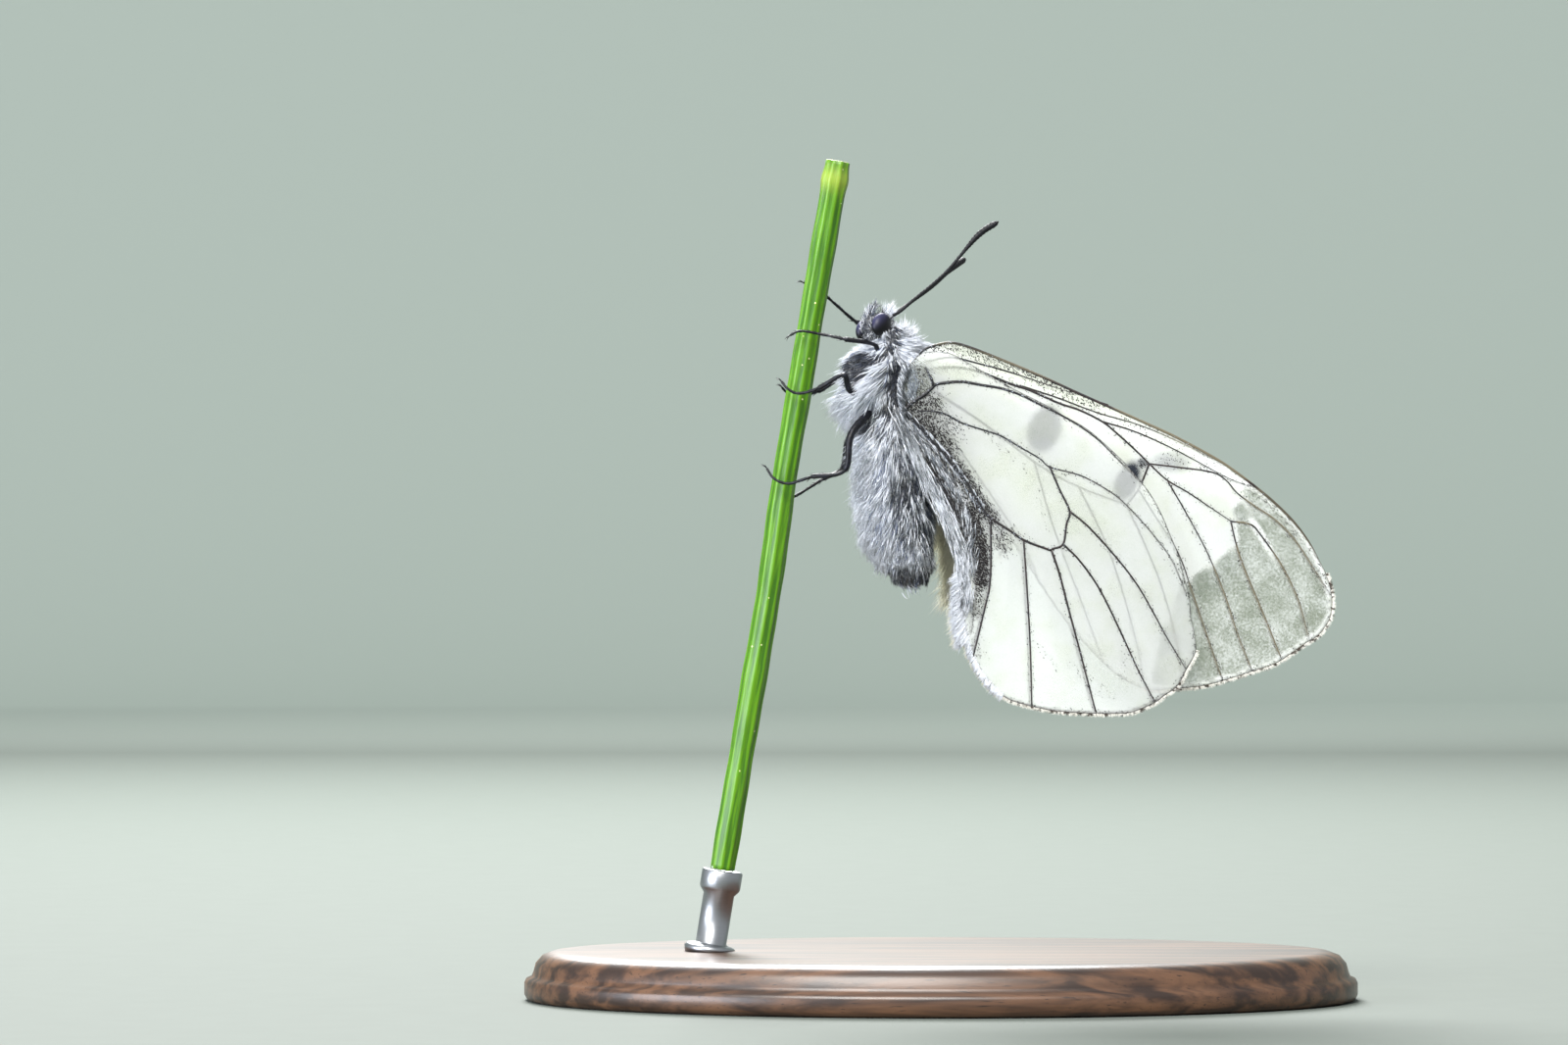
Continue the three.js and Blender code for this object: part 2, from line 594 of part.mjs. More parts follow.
// A core and its coat, clear of the rooms of other nodes. The locks keep clear of locksClear too.
function coated(core, locks, rooms, locksClear) {
  const coat = cutBy(locks, locksClear);
  return largest(cutBy(core.add(coat), rooms));
}

function headSolid() {
  const palpRooms = [1, -1].map((side) => palp(side, EYE.gap));
  const bristleRooms = [1, -1].map((side) => palp(side, GAP + LOCKS.palp.length / 2));
  const locks = headLocks(seededDraws(11));
  const rooms = [...eyeRooms, ...palpRooms, ...feelerRooms, ...legRooms];
  return coated(headCore(COATS.head.core), locks, rooms, bristleRooms);
}

function palpSolid(side) {
  const rooms = [...eyeRooms, ...legRooms, headCore(COATS.head.core + GAP)];
  return coated(palp(side), palpLocks(side, seededDraws(23)), rooms, [palp(-side, GAP + 0.1)]);
}

function thoraxSolid() {
  const draw = seededDraws(37);
  const back = trunkLocks(THORAX, COATS.thorax, LOCKS.thorax, 1, draw);
  const collar = trunkLocks(THORAX, COATS.collar, LOCKS.collar, -1, draw);
  const rooms = [headCore(COATS.head.core + GAP), ...legRooms, ...wingRooms, ...feelerRooms];
  const faceRooms = [1, -1].flatMap((side) => [eye(side, GAP), palp(side, GAP + 0.3)]);
  const headCoatRoom = headCore(COATS.head.core + LOCKS.head.length * 0.7);
  const core = trunk(THORAX, COATS.thorax.core, 10, 20).intersect(halfSpace(true));
  const locksClear = [headCoatRoom, ...faceRooms, trunk(ABDOMEN, COATS.abdomen.core + GAP, 12, 20)];
  return coated(core, back.add(collar), [...rooms, ...faceRooms], locksClear);
}

function abdomenSolid() {
  const locks = trunkLocks(ABDOMEN, COATS.abdomen, LOCKS.abdomen, 1, seededDraws(51));
  const core = trunk(ABDOMEN, COATS.abdomen.core, 12, 20).intersect(halfSpace(false));
  return coated(core, locks, [...legRooms, ...wingRooms], []);
}

// ---------------------------------------------------------------- assembly

const butterfly = new THREE.Group();

function place(name, geometry, material) {
  geometry.computeVertexNormals();
  const mesh = new THREE.Mesh(geometry, material);
  mesh.name = name;
  butterfly.add(mesh);
}

place("head", geometryOf(headSolid()), FINISHES.greyHair);
place("thorax", geometryOf(thoraxSolid()), FINISHES.greyHair);
place("abdomen", geometryOf(abdomenSolid()), FINISHES.whiteHair);
for (const [name, side] of [["left", 1], ["right", -1]]) {
  place("eye_" + name, geometryOf(eye(side)), FINISHES.eye);
  place("palp_" + name, geometryOf(palpSolid(side)), FINISHES.whiteHair);
}
for (const name in ANTENNAE) place(name, geometryOf(antenna(name)), FINISHES.feeler);
for (const name in LEGS) place(name, geometryOf(leg(name)), FINISHES.leg);
for (const [name, side] of [["left", -1], ["right", 1]]) {
  place("forewing_" + name, wingGeometry(FOREWING, side), FINISHES.wing);
  place("hindwing_" + name, wingGeometry(HINDWING, side), FINISHES.wing);
}
place("perch_stem", stemGeometry(), FINISHES.stem);
place("stand_rod", rodGeometry(), FINISHES.rod);
place("stand_base", baseGeometry(), FINISHES.base);

export default butterfly;
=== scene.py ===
"""A clouded apollo butterfly, wings closed, gripping a cut stem that a display stand holds up.

Sizes are in millimetres until a mesh is made. +Z is up and towards the head, +X towards the wings' tips,
and the left wings face -Y.
"""

import logging
import math
from collections.abc import Callable
from dataclasses import dataclass, field
from enum import Enum
from functools import partial

import bmesh
import bpy
import numpy as np
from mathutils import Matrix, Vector, geometry
from mathutils.kdtree import KDTree


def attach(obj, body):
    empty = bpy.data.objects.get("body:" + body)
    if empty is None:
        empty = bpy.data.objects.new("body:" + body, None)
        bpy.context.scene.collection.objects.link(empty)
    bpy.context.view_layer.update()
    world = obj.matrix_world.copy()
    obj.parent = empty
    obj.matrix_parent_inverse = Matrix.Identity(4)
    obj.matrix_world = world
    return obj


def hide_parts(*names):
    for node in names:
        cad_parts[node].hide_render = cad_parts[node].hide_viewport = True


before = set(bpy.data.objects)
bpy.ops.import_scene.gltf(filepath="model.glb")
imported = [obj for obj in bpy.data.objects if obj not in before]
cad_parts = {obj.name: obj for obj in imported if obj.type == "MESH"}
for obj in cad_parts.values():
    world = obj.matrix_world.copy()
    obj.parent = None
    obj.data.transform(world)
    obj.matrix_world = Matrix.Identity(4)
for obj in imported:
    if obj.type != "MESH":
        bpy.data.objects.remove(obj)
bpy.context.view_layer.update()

LOG = logging.getLogger("butterfly")
MM = 0.001
BAKE_MAP = "OFBake"
BAKE_PATCH = 0.003
UP = np.array([0.0, 0.0, 1.0])

Array = np.ndarray
Piece = bpy.types.Object
Socket = bpy.types.NodeSocket
Adder = Callable[..., Socket]


class Side(Enum):
    """The butterfly's own left and right, as the sign of Y."""

    LEFT = -1
    RIGHT = 1

    @property
    def word(self) -> str:
        """The side's name as it stands in piece names."""
        return self.name.lower()


# ---------------------------------------------------------------- numbers and curves


def unit(vectors: Array) -> Array:
    """Vectors scaled to length one, along the last axis."""
    return vectors / np.maximum(np.linalg.norm(vectors, axis=-1, keepdims=True), 1e-9)


def lengths(vectors: Array) -> Array:
    """The length of each row."""
    return np.linalg.norm(vectors, axis=1)


def round_turn(count: int) -> Array:
    """Angles spaced evenly round a circle."""
    return np.linspace(0, 2 * np.pi, count, endpoint=False)


def looped(rim: Array) -> Array:
    """A closed outline with its first point again at its end."""
    return np.vstack([rim, rim[:1]])


def run_along(line: Array) -> Array:
    """How far along a line each of its points is."""
    return np.concatenate([[0], np.cumsum(lengths(np.diff(line, axis=0)))])


def points_at(line: Array, run: Array, places: Array) -> Array:
    """The points at these places of a line whose own points are this far along it."""
    return np.stack([np.interp(places, run, column) for column in line.T], axis=1)


def smoothstep(value: Array, low: float, high: float) -> Array:
    """Zero below low, one above high and a smooth rise between, or a fall where high is the smaller."""
    share = np.clip((np.asarray(value, float) - low) / (high - low), 0, 1)
    return share * share * (3 - 2 * share)


def spline(points: Array, steps: int, closed: bool = False) -> Array:
    """Samples a Catmull-Rom curve through points.

    Args:
        points: the curve's points, one row each.
        steps: samples for each span between two points.
        closed: True if the last point joins the first.

    Returns:
        The samples, one row each. An open curve keeps its two ends.
    """
    points = np.asarray(points, float)
    if closed:
        ends = np.vstack([points[-1], points, points[:2]])
    else:
        ends = np.vstack([2 * points[0] - points[1], points, 2 * points[-1] - points[-2]])
    spans = len(ends) - 3
    t = np.linspace(0, 1, steps, endpoint=False)[:, None]
    rows = []
    for i in range(spans):
        a, b, c, d = ends[i : i + 4]
        bend, twist = 2 * a - 5 * b + 4 * c - d, 3 * b - a - 3 * c + d
        rows.append(0.5 * (2 * b + (c - a) * t + bend * t**2 + twist * t**3))
    if not closed:
        rows.append(points[-1:])
    return np.vstack(rows)


def resample(line: Array, spacing: float, closed: bool = False) -> Array:
    """Points spaced evenly along a line, about spacing apart.

    Args:
        line: points along it.
        spacing: the wanted step, in millimetres.
        closed: whether the line ends where it starts.

    Returns:
        The new points.
    """
    line = looped(line) if closed else line
    run = run_along(line)
    count = max(2, int(round(run[-1] / spacing)) + 1)
    made = points_at(line, run, np.linspace(0, run[-1], count))
    return made[:-1] if closed else made


def distance_to_lines(points: Array, lines: list[Array]) -> Array:
    """Each point's distance to the nearest of some lines, in their own plane.

    Args:
        points: places in the lines' plane.
        lines: each line's points.

    Returns:
        A distance for each point.
    """
    best = np.full(len(points), 1e9)
    for line in lines:
        for a, b in zip(line[:-1], line[1:]):
            ab = b - a
            share = np.clip(((points - a) @ ab) / max(ab @ ab, 1e-12), 0, 1)
            best = np.minimum(best, lengths(points - a - share[:, None] * ab))
    return best


def inside(points: Array, outline: Array) -> Array:
    """True for each point within a closed outline.

    Args:
        points: places in the outline's plane.
        outline: its corners in order.

    Returns:
        Whether each point is inside.
    """
    hit = np.zeros(len(points), bool)
    x, z = points[:, 0], points[:, 1]
    for (x0, z0), (x1, z1) in zip(outline, np.roll(outline, -1, axis=0)):
        crosses = (z0 > z) != (z1 > z)
        if z1 != z0:
            hit ^= crosses & (x < (x1 - x0) * (z - z0) / (z1 - z0) + x0)
    return hit


def frames_along(line: Array, up: Array) -> tuple[Array, Array, Array]:
    """The direction of a line at each point and two axes across it, the second as near to up as can be.

    Args:
        line: points along it.
        up: the direction that the second axis keeps to.

    Returns:
        Three directions for each point.
    """
    way = unit(np.gradient(line, axis=0))
    side = unit(np.cross(way, up))
    return way, side, np.cross(side, way)


# ---------------------------------------------------------------- meshes


def make_piece(
    name: str,
    points: Array,
    faces: list | Array,
    values: dict[str, Array] | None = None,
    bake: Array | None = None,
    scale: float = MM,
) -> Piece:
    """Makes a smooth mesh object at the origin.

    Args:
        name: the piece's name.
        points: vertex places in millimetres.
        faces: vertex numbers of each face.
        values: attributes, with one number or one vector for each vertex.
        bake: UV places for each face corner.
        scale: metres for each unit of points.

    Returns:
        The new object, linked to the scene.
    """
    mesh = bpy.data.meshes.new(name)
    mesh.from_pydata((np.asarray(points) * scale).tolist(), [], [list(map(int, f)) for f in faces])
    for key, numbers in (values or {}).items():
        numbers = np.asarray(numbers, np.float32)
        kind, slot = ("FLOAT", "value") if numbers.ndim == 1 else ("FLOAT_VECTOR", "vector")
        mesh.attributes.new(key, kind, "POINT").data.foreach_set(slot, numbers.ravel())
    if bake is not None:
        mesh.uv_layers.new(name=BAKE_MAP).data.foreach_set("uv", np.asarray(bake, np.float32).ravel())
    mesh.polygons.foreach_set("use_smooth", np.ones(len(mesh.polygons), bool))
    mesh.update()
    piece = bpy.data.objects.new(name, mesh)
    bpy.context.scene.collection.objects.link(piece)
    return piece


def grid_faces(rows: int, sides: int, start: int = 0) -> list[list[int]]:
    """Quads of a tube of rings, each ring's points following the last ring's.

    Args:
        rows: how many rings there are.
        sides: the points in each ring.
        start: the first point's number.

    Returns:
        Four point numbers for each face.
    """
    made = []
    for row in range(rows - 1):
        for side in range(sides):
            a, b = start + row * sides + side, start + row * sides + (side + 1) % sides
            made.append([a, b, b + sides, a + sides])
    return made


def capped(rings: Array, low: Array, high: Array) -> tuple[Array, list]:
    """A tube through rings of points, closed by a fan to a point at each end.

    Args:
        rings: points by ring and side.
        low: the point that closes the first ring.
        high: the point that closes the last ring.

    Returns:
        The points and the faces.
    """
    rows, sides = rings.shape[:2]
    points = np.vstack([rings.reshape(-1, 3), [low], [high]])
    first, end = rows * sides, (rows - 1) * sides
    faces = grid_faces(rows, sides)
    for i in range(sides):
        j = (i + 1) % sides
        faces += [[first, j, i], [first + 1, end + i, end + j]]
    return points, faces


def tube(line: Array, radii: Array, sides: int, up: Array, flat: Array | float = 1.0) -> tuple[Array, list]:
    """A closed tube round a line.

    Args:
        line: points of its middle.
        radii: its radius at each point.
        sides: points on each ring.
        up: a direction that the line never follows.
        flat: its height over its width.

    Returns:
        Its points and faces, with both ends capped by a fan.
    """
    _, across, over = frames_along(line, up)
    turn = round_turn(sides)
    radii = np.broadcast_to(radii, len(line))
    flat = np.broadcast_to(flat, len(line))
    rings = (
        line[:, None]
        + radii[:, None, None] * np.cos(turn)[None, :, None] * across[:, None]
        + (radii * flat)[:, None, None] * np.sin(turn)[None, :, None] * over[:, None]
    )
    return capped(rings, line[0], line[-1])


def joined(parts: list[tuple[Array, list]]) -> tuple[Array, list]:
    """Several meshes as one list of points and one of faces.

    Args:
        parts: each mesh's points and faces.

    Returns:
        The points and the faces.
    """
    points, faces, start = [], [], 0
    for some, theirs in parts:
        points.append(some)
        faces += [[start + i for i in face] for face in theirs]
        start += len(some)
    return np.vstack(points), faces


def vertex_values(mesh: bpy.types.Mesh, key: str) -> Array:
    """A vector that a mesh has for each vertex, such as its place or its normal.

    Args:
        mesh: the mesh to read.
        key: what to read, by Blender's name.

    Returns:
        A row for each vertex.
    """
    values = np.zeros(len(mesh.vertices) * 3)
    mesh.vertices.foreach_get(key, values)
    return values.reshape(-1, 3)


def face_outwards(piece: Piece) -> None:
    """Turns a closed piece's faces outwards.

    Args:
        piece: the piece to mend.
    """
    work = bmesh.new()
    work.from_mesh(piece.data)
    bmesh.ops.recalc_face_normals(work, faces=work.faces)
    work.to_mesh(piece.data)
    work.free()


def ball(centre: Array, axes: Array, radii: Array, rings: int, sides: int) -> tuple[Array, list]:
    """An ellipsoid whose axes are the rows of axes.

    Args:
        centre: its middle.
        axes: its directions as rows.
        radii: its half size along each.
        rings: the rings between its poles.
        sides: the points in each ring.

    Returns:
        The points and the faces.
    """
    slope = np.linspace(0, np.pi, rings + 2)[1:-1]
    turn = round_turn(sides)
    a = np.cos(slope)[:, None] * np.ones_like(turn)
    b = np.sin(slope)[:, None] * np.cos(turn)
    c = np.sin(slope)[:, None] * np.sin(turn)
    shape, faces = capped(np.stack([a, b, c], -1), (1, 0, 0), (-1, 0, 0))
    return centre + (shape * radii) @ axes, faces


# ---------------------------------------------------------------- materials


class Kind(Enum):
    """The finishes' nodes: type, inputs in the order that they are given, own settings and wanted output."""

    PLACE = ("ShaderNodeTexCoord", (), {}, "Object")
    READING = ("ShaderNodeAttribute", (), {}, "Fac")
    NORMAL = ("ShaderNodeNewGeometry", (), {}, "Normal")
    DRAWN = ("ShaderNodeMapping", ("Vector", "Scale", "Rotation"), {"vector_type": "TEXTURE"}, 0)
    NOISE = ("ShaderNodeTexNoise", ("Vector", "Scale", "Detail", "Distortion"), {}, 0)
    CELLS = ("ShaderNodeTexVoronoi", ("Vector", "Scale"), {}, "Distance")
    LOTS = ("ShaderNodeSeparateColor", (0,), {}, 0)
    MINUS = ("ShaderNodeMath", (0, 1), {"operation": "SUBTRACT"}, 0)
    PLUS = ("ShaderNodeMath", (0, 1), {"operation": "ADD"}, 0)
    TIMES = ("ShaderNodeMath", (0, 1), {"operation": "MULTIPLY"}, 0)
    TIMES_PLUS = ("ShaderNodeMath", (0, 1, 2), {"operation": "MULTIPLY_ADD"}, 0)
    UNDER = ("ShaderNodeMath", (0, 1), {"operation": "LESS_THAN"}, 0)
    GREATER = ("ShaderNodeMath", (0, 1), {"operation": "MAXIMUM"}, 0)
    RISE = ("ShaderNodeMapRange", (0, 1, 2), {"interpolation_type": "SMOOTHSTEP"}, 0)
    FACING = ("ShaderNodeVectorMath", (0, 1), {"operation": "DOT_PRODUCT"}, "Value")
    MIX = ("ShaderNodeMix", (0, 6, 7), {"data_type": "RGBA"}, 2)
    BUMP = ("ShaderNodeBump", ("Height", "Strength", "Distance"), {}, 0)
    SURFACE = ("ShaderNodeBsdfPrincipled", ("Base Color", "Roughness", "Specular IOR Level", "Normal"), {}, 0)
    GLOW = ("ShaderNodeBsdfTranslucent", ("Color",), {}, 0)
    VEIL = ("ShaderNodeBsdfTransparent", (), {}, 0)
    LAYER = ("ShaderNodeMixShader", (0, 1, 2), {}, 0)


def linear(code: str) -> tuple[float, float, float, float]:
    """An sRGB hex colour as linear numbers, with full alpha."""
    parts = [int(code[i : i + 2], 16) / 255 for i in (1, 3, 5)]
    return (*[c / 12.92 if c <= 0.04045 else ((c + 0.055) / 1.055) ** 2.4 for c in parts], 1.0)


def per(size: float) -> float:
    """The scale of a pattern whose features have this size in millimetres."""
    return 1 / (size * MM)


def add_node(
    tree: bpy.types.NodeTree, kind: Kind | str, *inputs: object, more: dict | None = None, **settings: object
) -> Socket | None:
    """Adds a node with its settings and links.

    Args:
        tree: the tree that gets it.
        kind: the kind of node, or its type.
        inputs: a number, a hex colour or a socket for each of its inputs, in the kind's order.
        more: the same for other inputs, by name or number.
        settings: values of the node's own properties.

    Returns:
        The output that the kind names, or the first, or None from a node without outputs.
    """
    type_name, keys, own, out = kind.value if isinstance(kind, Kind) else (kind, range(len(inputs)), {}, 0)
    made = tree.nodes.new(type_name)
    for key, value in {**own, **settings}.items():
        setattr(made, key, value)
    for key, value in {**dict(zip(keys, inputs)), **(more or {})}.items():
        if isinstance(value, Socket):
            tree.links.new(value, made.inputs[key])
        else:
            coloured = isinstance(value, str) and value.startswith("#")
            made.inputs[key].default_value = linear(value) if coloured else value
    return made.outputs[out] if made.outputs else None


@dataclass(frozen=True)
class Finish:
    """A surface finish. Each kind fills in its own nodes."""

    name: str

    def material(self) -> bpy.types.Material:
        """The finish's material, made once.

        Returns:
            The material.
        """
        known = bpy.data.materials.get(self.name)
        if known is not None:
            return known
        made = bpy.data.materials.new(self.name)
        made.use_nodes = True
        made.node_tree.nodes.clear()
        add = partial(add_node, made.node_tree)
        add("ShaderNodeOutputMaterial", self.shader(add))
        return made

    def shader(self, add: Adder) -> Socket:
        """The finish's shader, from nodes made by add."""
        raise NotImplementedError

    def dress(self, piece: Piece) -> None:
        """Gives a piece this finish all over.

        Args:
            piece: what gets it.
        """
        piece.data.materials.clear()
        piece.data.materials.append(self.material())
        piece.data.polygons.foreach_set("material_index", np.zeros(len(piece.data.polygons), np.int32))


@dataclass(frozen=True)
class ScaledMembrane(Finish):
    """Wing membrane: thin clear chitin under powdery scales, which give soft white where they are many."""

    pale: str = "#e7e9e7"
    warm: str = "#dee2d5"
    film: str = "#7d8270"
    cloud: str = "#353a45"
    soot: str = "#141215"
    umber: str = "#282322"
    cell: float = 0.06
    radial: float = 1.05
    covered: float = 0.72
    bare: float = 0.26
    lit_through: float = 0.35

    def shader(self, add: Adder) -> Socket:
        """Pale scales, grey clouds and single dark scales over a film that lets light through.

        Args:
            add: makes a node of the material's tree.

        Returns:
            The shader.
        """
        place = add(Kind.PLACE)
        keys = ("glass", "cloud", "dusk", "warm")
        glass, cloud, dusk, warm = (add(Kind.READING, attribute_name=key) for key in keys)
        mottle, grain, powder = (
            add(Kind.NOISE, place, per(size), detail)
            for size, detail in ((1.5, 4), (0.13, 2), (0.05, 1))
        )
        rows = add(Kind.DRAWN, place, (1.7, 1.0, 1.0), (0.0, self.radial, 0.0))
        near = add(Kind.CELLS, rows, per(self.cell))
        lot = add(Kind.LOTS, near.node.outputs["Color"]).node.outputs
        size = add(Kind.TIMES_PLUS, lot[1], 0.28, 0.2)
        size = add(Kind.TIMES_PLUS, dusk, 0.38, size)
        chosen = add(Kind.UNDER, lot[0], dusk)
        within = add(Kind.UNDER, near, size)
        dark = add(Kind.TIMES, chosen, within)
        yellow = add(Kind.RISE, mottle, 0.4, 0.7)
        yellow = add(Kind.TIMES_PLUS, yellow, 0.6, warm, use_clamp=True)
        pale = add(Kind.MIX, yellow, self.pale, self.warm)
        thin = add(Kind.RISE, powder, 0.35, 0.75)
        thin = add(Kind.TIMES, thin, 0.12)
        pale = add(Kind.MIX, thin, pale, self.film)
        stray = add(Kind.TIMES_PLUS, mottle, 0.7, grain)
        stray = add(Kind.RISE, stray, 0.7, 1.1)
        film = add(Kind.MIX, stray, self.film, self.pale)
        patches = add(Kind.TIMES_PLUS, grain, 0.9, -0.65)
        patches = add(Kind.TIMES_PLUS, mottle, 0.4, patches)
        clear = add(Kind.TIMES_PLUS, glass, 1.3, patches)
        clear = add(Kind.RISE, clear, 0.35, 0.95)
        shade = add(Kind.MIX, clear, pale, film)
        smoky = add(Kind.TIMES_PLUS, powder, 1.3, 0.15)
        smoky = add(Kind.TIMES, cloud, smoky, use_clamp=True)
        shade = add(Kind.MIX, smoky, shade, self.cloud)
        brown = add(Kind.MIX, lot[2], self.soot, self.umber)
        shade = add(Kind.MIX, dark, shade, brown)
        cover = add(Kind.TIMES_PLUS, clear, self.bare - self.covered, self.covered)
        for mark, strength in ((smoky, 0.8), (dark, 0.96)):
            cover = add(Kind.GREATER, cover, add(Kind.TIMES, mark, strength))
        relief = add(Kind.TIMES_PLUS, mottle, 5.0, grain)
        bump = add(Kind.BUMP, relief, 0.3, 0.02 * MM)
        face = add(Kind.SURFACE, shade, 0.6, 0.3, bump, more={"Alpha": cover})
        through = add(Kind.LAYER, cover, add(Kind.VEIL), add(Kind.GLOW, shade))
        return add(Kind.LAYER, self.lit_through, face, through)


@dataclass(frozen=True)
class Chitin(Finish):
    """Hard cuticle: dark, a little glossy, finely pitted, with paler dust where scales have stuck."""

    base: str = "#0b0b10"
    dust: str = "#454a5e"
    dusty: float = 0.25
    rough: float = 0.38
    pit: float = 0.07

    def shader(self, add: Adder) -> Socket:
        """Dark cuticle with fine pits and dust.

        Args:
            add: makes a node of the material's tree.

        Returns:
            The shader.
        """
        place = add(Kind.PLACE)
        pits = add(Kind.CELLS, place, per(self.pit))
        dust = add(Kind.NOISE, place, per(0.22), 5.0)
        dust = add(Kind.RISE, dust, 0.45, 0.75)
        dust = add(Kind.TIMES, dust, self.dusty)
        shade = add(Kind.MIX, dust, self.base, self.dust)
        bump = add(Kind.BUMP, pits, 0.4, 0.015 * MM)
        return add(Kind.SURFACE, shade, self.rough, 0.3, bump)


@dataclass(frozen=True)
class Vein(Finish):
    """Wing vein: a tube of cuticle, blue-black near the body, brown farther out, flecked by pale scales."""

    dark: str = "#0b0a10"
    brown: str = "#271916"
    tan: str = "#7d745c"
    scale: str = "#aab0bd"

    def shader(self, add: Adder) -> Socket:
        """Dark tube with brown and pale flecks, paler where the wing is glassy.

        Args:
            add: makes a node of the material's tree.

        Returns:
            The shader.
        """
        place = add(Kind.PLACE)
        far, glass = (add(Kind.READING, attribute_name=key) for key in ("far", "glass"))
        fleck = add(Kind.NOISE, place, per(0.16), 3.0)
        near = add(Kind.CELLS, place, per(0.06))
        brown = add(Kind.RISE, fleck, 0.38, 0.6)
        brown = add(Kind.TIMES, brown, far)
        shade = add(Kind.MIX, brown, self.dark, self.brown)
        bare = add(Kind.TIMES, glass, 0.65)
        shade = add(Kind.MIX, bare, shade, self.tan)
        few = add(Kind.TIMES_PLUS, far, -0.12, 0.22)
        few = add(Kind.UNDER, near.node.outputs["Color"], few)
        pale = add(Kind.UNDER, near, 0.45)
        pale = add(Kind.TIMES, few, pale)
        shade = add(Kind.MIX, pale, shade, self.scale)
        bump = add(Kind.BUMP, fleck, 0.5, 0.02 * MM)
        return add(Kind.SURFACE, shade, 0.5, 0.5, bump)


@dataclass(frozen=True)
class Hair(Finish):
    """Body hair: fine pale or sooty scales drawn out to threads, soft and a little shiny."""

    white: str = "#f6f9ff"
    grey: str = "#7288b6"
    soot: str = "#0a0b10"
    through: float = 0.3

    def shader(self, add: Adder) -> Socket:
        """White, grey or sooty by the hair's own tone, paler to its tip.

        Args:
            add: makes a node of the material's tree.

        Returns:
            The shader.
        """
        tone, along = (add(Kind.READING, attribute_name=key) for key in ("tone", "along"))
        mild = add(Kind.RISE, tone, 0.0, 0.6)
        shade = add(Kind.MIX, mild, self.soot, self.grey)
        pale = add(Kind.RISE, tone, 0.5, 0.9)
        shade = add(Kind.MIX, pale, shade, self.white)
        tip = add(Kind.TIMES, along, tone)
        tip = add(Kind.TIMES, tip, 0.4)
        shade = add(Kind.MIX, tip, shade, self.white)
        sheen = {"Sheen Weight": 0.8, "Sheen Roughness": 0.4}
        strand = add(Kind.SURFACE, shade, 0.62, 0.35, more=sheen)
        return add(Kind.LAYER, self.through, strand, add(Kind.GLOW, shade))


@dataclass(frozen=True)
class Hide(Finish):
    """Skin under the coat: dull dark cuticle, paler where the coat is white."""

    dark: str = "#121318"
    light: str = "#c9ccd6"

    def shader(self, add: Adder) -> Socket:
        """Dark cuticle that takes some of the coat's tone.

        Args:
            add: makes a node of the material's tree.

        Returns:
            The shader.
        """
        rough = add(Kind.NOISE, add(Kind.PLACE), per(0.12), 4.0)
        tone = add(Kind.TIMES, add(Kind.READING, attribute_name="tone"), rough)
        shade = add(Kind.MIX, tone, self.dark, self.light)
        bump = add(Kind.BUMP, rough, 0.5, 0.03 * MM)
        return add(Kind.SURFACE, shade, 0.75, 0.5, bump)


@dataclass(frozen=True)
class EyeFacets(Finish):
    """Compound eye: packed lenses coarser than life, near black, with a painted violet-blue highlight
    skywards.
    """

    deep: str = "#050509"
    bloom: str = "#2d2d4c"
    facet: float = 0.035
    sky: tuple[float, float, float] = (-0.3, -0.3, 0.9)

    def shader(self, add: Adder) -> Socket:
        """Satin facets with a painted highlight, violet-blue on the side that faces the sky.

        Args:
            add: makes a node of the material's tree.

        Returns:
            The shader.
        """
        lens = add(Kind.CELLS, add(Kind.PLACE), per(self.facet))
        # painted highlight: the colour turns from near black to violet-blue where the surface faces the sky,
        # standing in for the sky's reflection
        up = add(Kind.FACING, add(Kind.NORMAL), self.sky)
        painted_highlight_share = add(Kind.RISE, up, 0.1, 1.0)
        shade = add(Kind.MIX, painted_highlight_share, self.deep, self.bloom)
        domes = add(Kind.TIMES, lens, -1.0)
        bump = add(Kind.BUMP, domes, 0.25, 0.008 * MM)
        return add(Kind.SURFACE, shade, 0.42, 0.3, bump)


@dataclass(frozen=True)
class PlantStem(Finish):
    """Green stem: waxy skin over juicy fibre, dark furrows between pale ribs, pale specks."""

    furrow: str = "#336408"
    rib: str = "#5a8f08"
    edge: str = "#93aa3c"
    speck: str = "#d3d7a0"
    pith: str = "#c9d19a"
    lean: float = 0.17

    def shader(self, add: Adder) -> Socket:
        """Ribs by height, streaks along the stem and sparse specks.

        Args:
            add: makes a node of the material's tree.

        Returns:
            The shader.
        """
        place = add(Kind.PLACE)
        relief, pale, cut = (add(Kind.READING, attribute_name=key) for key in ("relief", "pale", "cut"))
        grains = []
        for size, detail, longer in ((0.2, 4.0, 16.0), (0.05, 2.0, 30.0)):
            drawn = add(Kind.DRAWN, place, (1.0, 1.0, longer), (0.0, self.lean, 0.0))
            grains.append(add(Kind.NOISE, drawn, per(size), detail))
        streak, fibre = grains
        share = add(Kind.TIMES_PLUS, fibre, 0.35, streak)
        share = add(Kind.TIMES_PLUS, relief, 0.3, share)
        share = add(Kind.RISE, share, 0.55, 1.0)
        shade = add(Kind.MIX, share, self.furrow, self.rib)
        pale = add(Kind.TIMES, pale, 0.8)
        shade = add(Kind.MIX, pale, shade, self.edge)
        spots = add(Kind.CELLS, place, per(0.8))
        few = add(Kind.UNDER, spots.node.outputs["Color"], 0.5)
        speck = add(Kind.UNDER, spots, 0.07)
        speck = add(Kind.TIMES, speck, few)
        shade = add(Kind.MIX, speck, shade, self.speck)
        shade = add(Kind.MIX, cut, shade, self.pith)
        bump = add(Kind.BUMP, fibre, 0.35, 0.03 * MM)
        juicy = {"Subsurface Weight": 0.2, "Subsurface Scale": 0.3 * MM}
        return add(Kind.SURFACE, shade, 0.4, 0.5, bump, more=juicy)


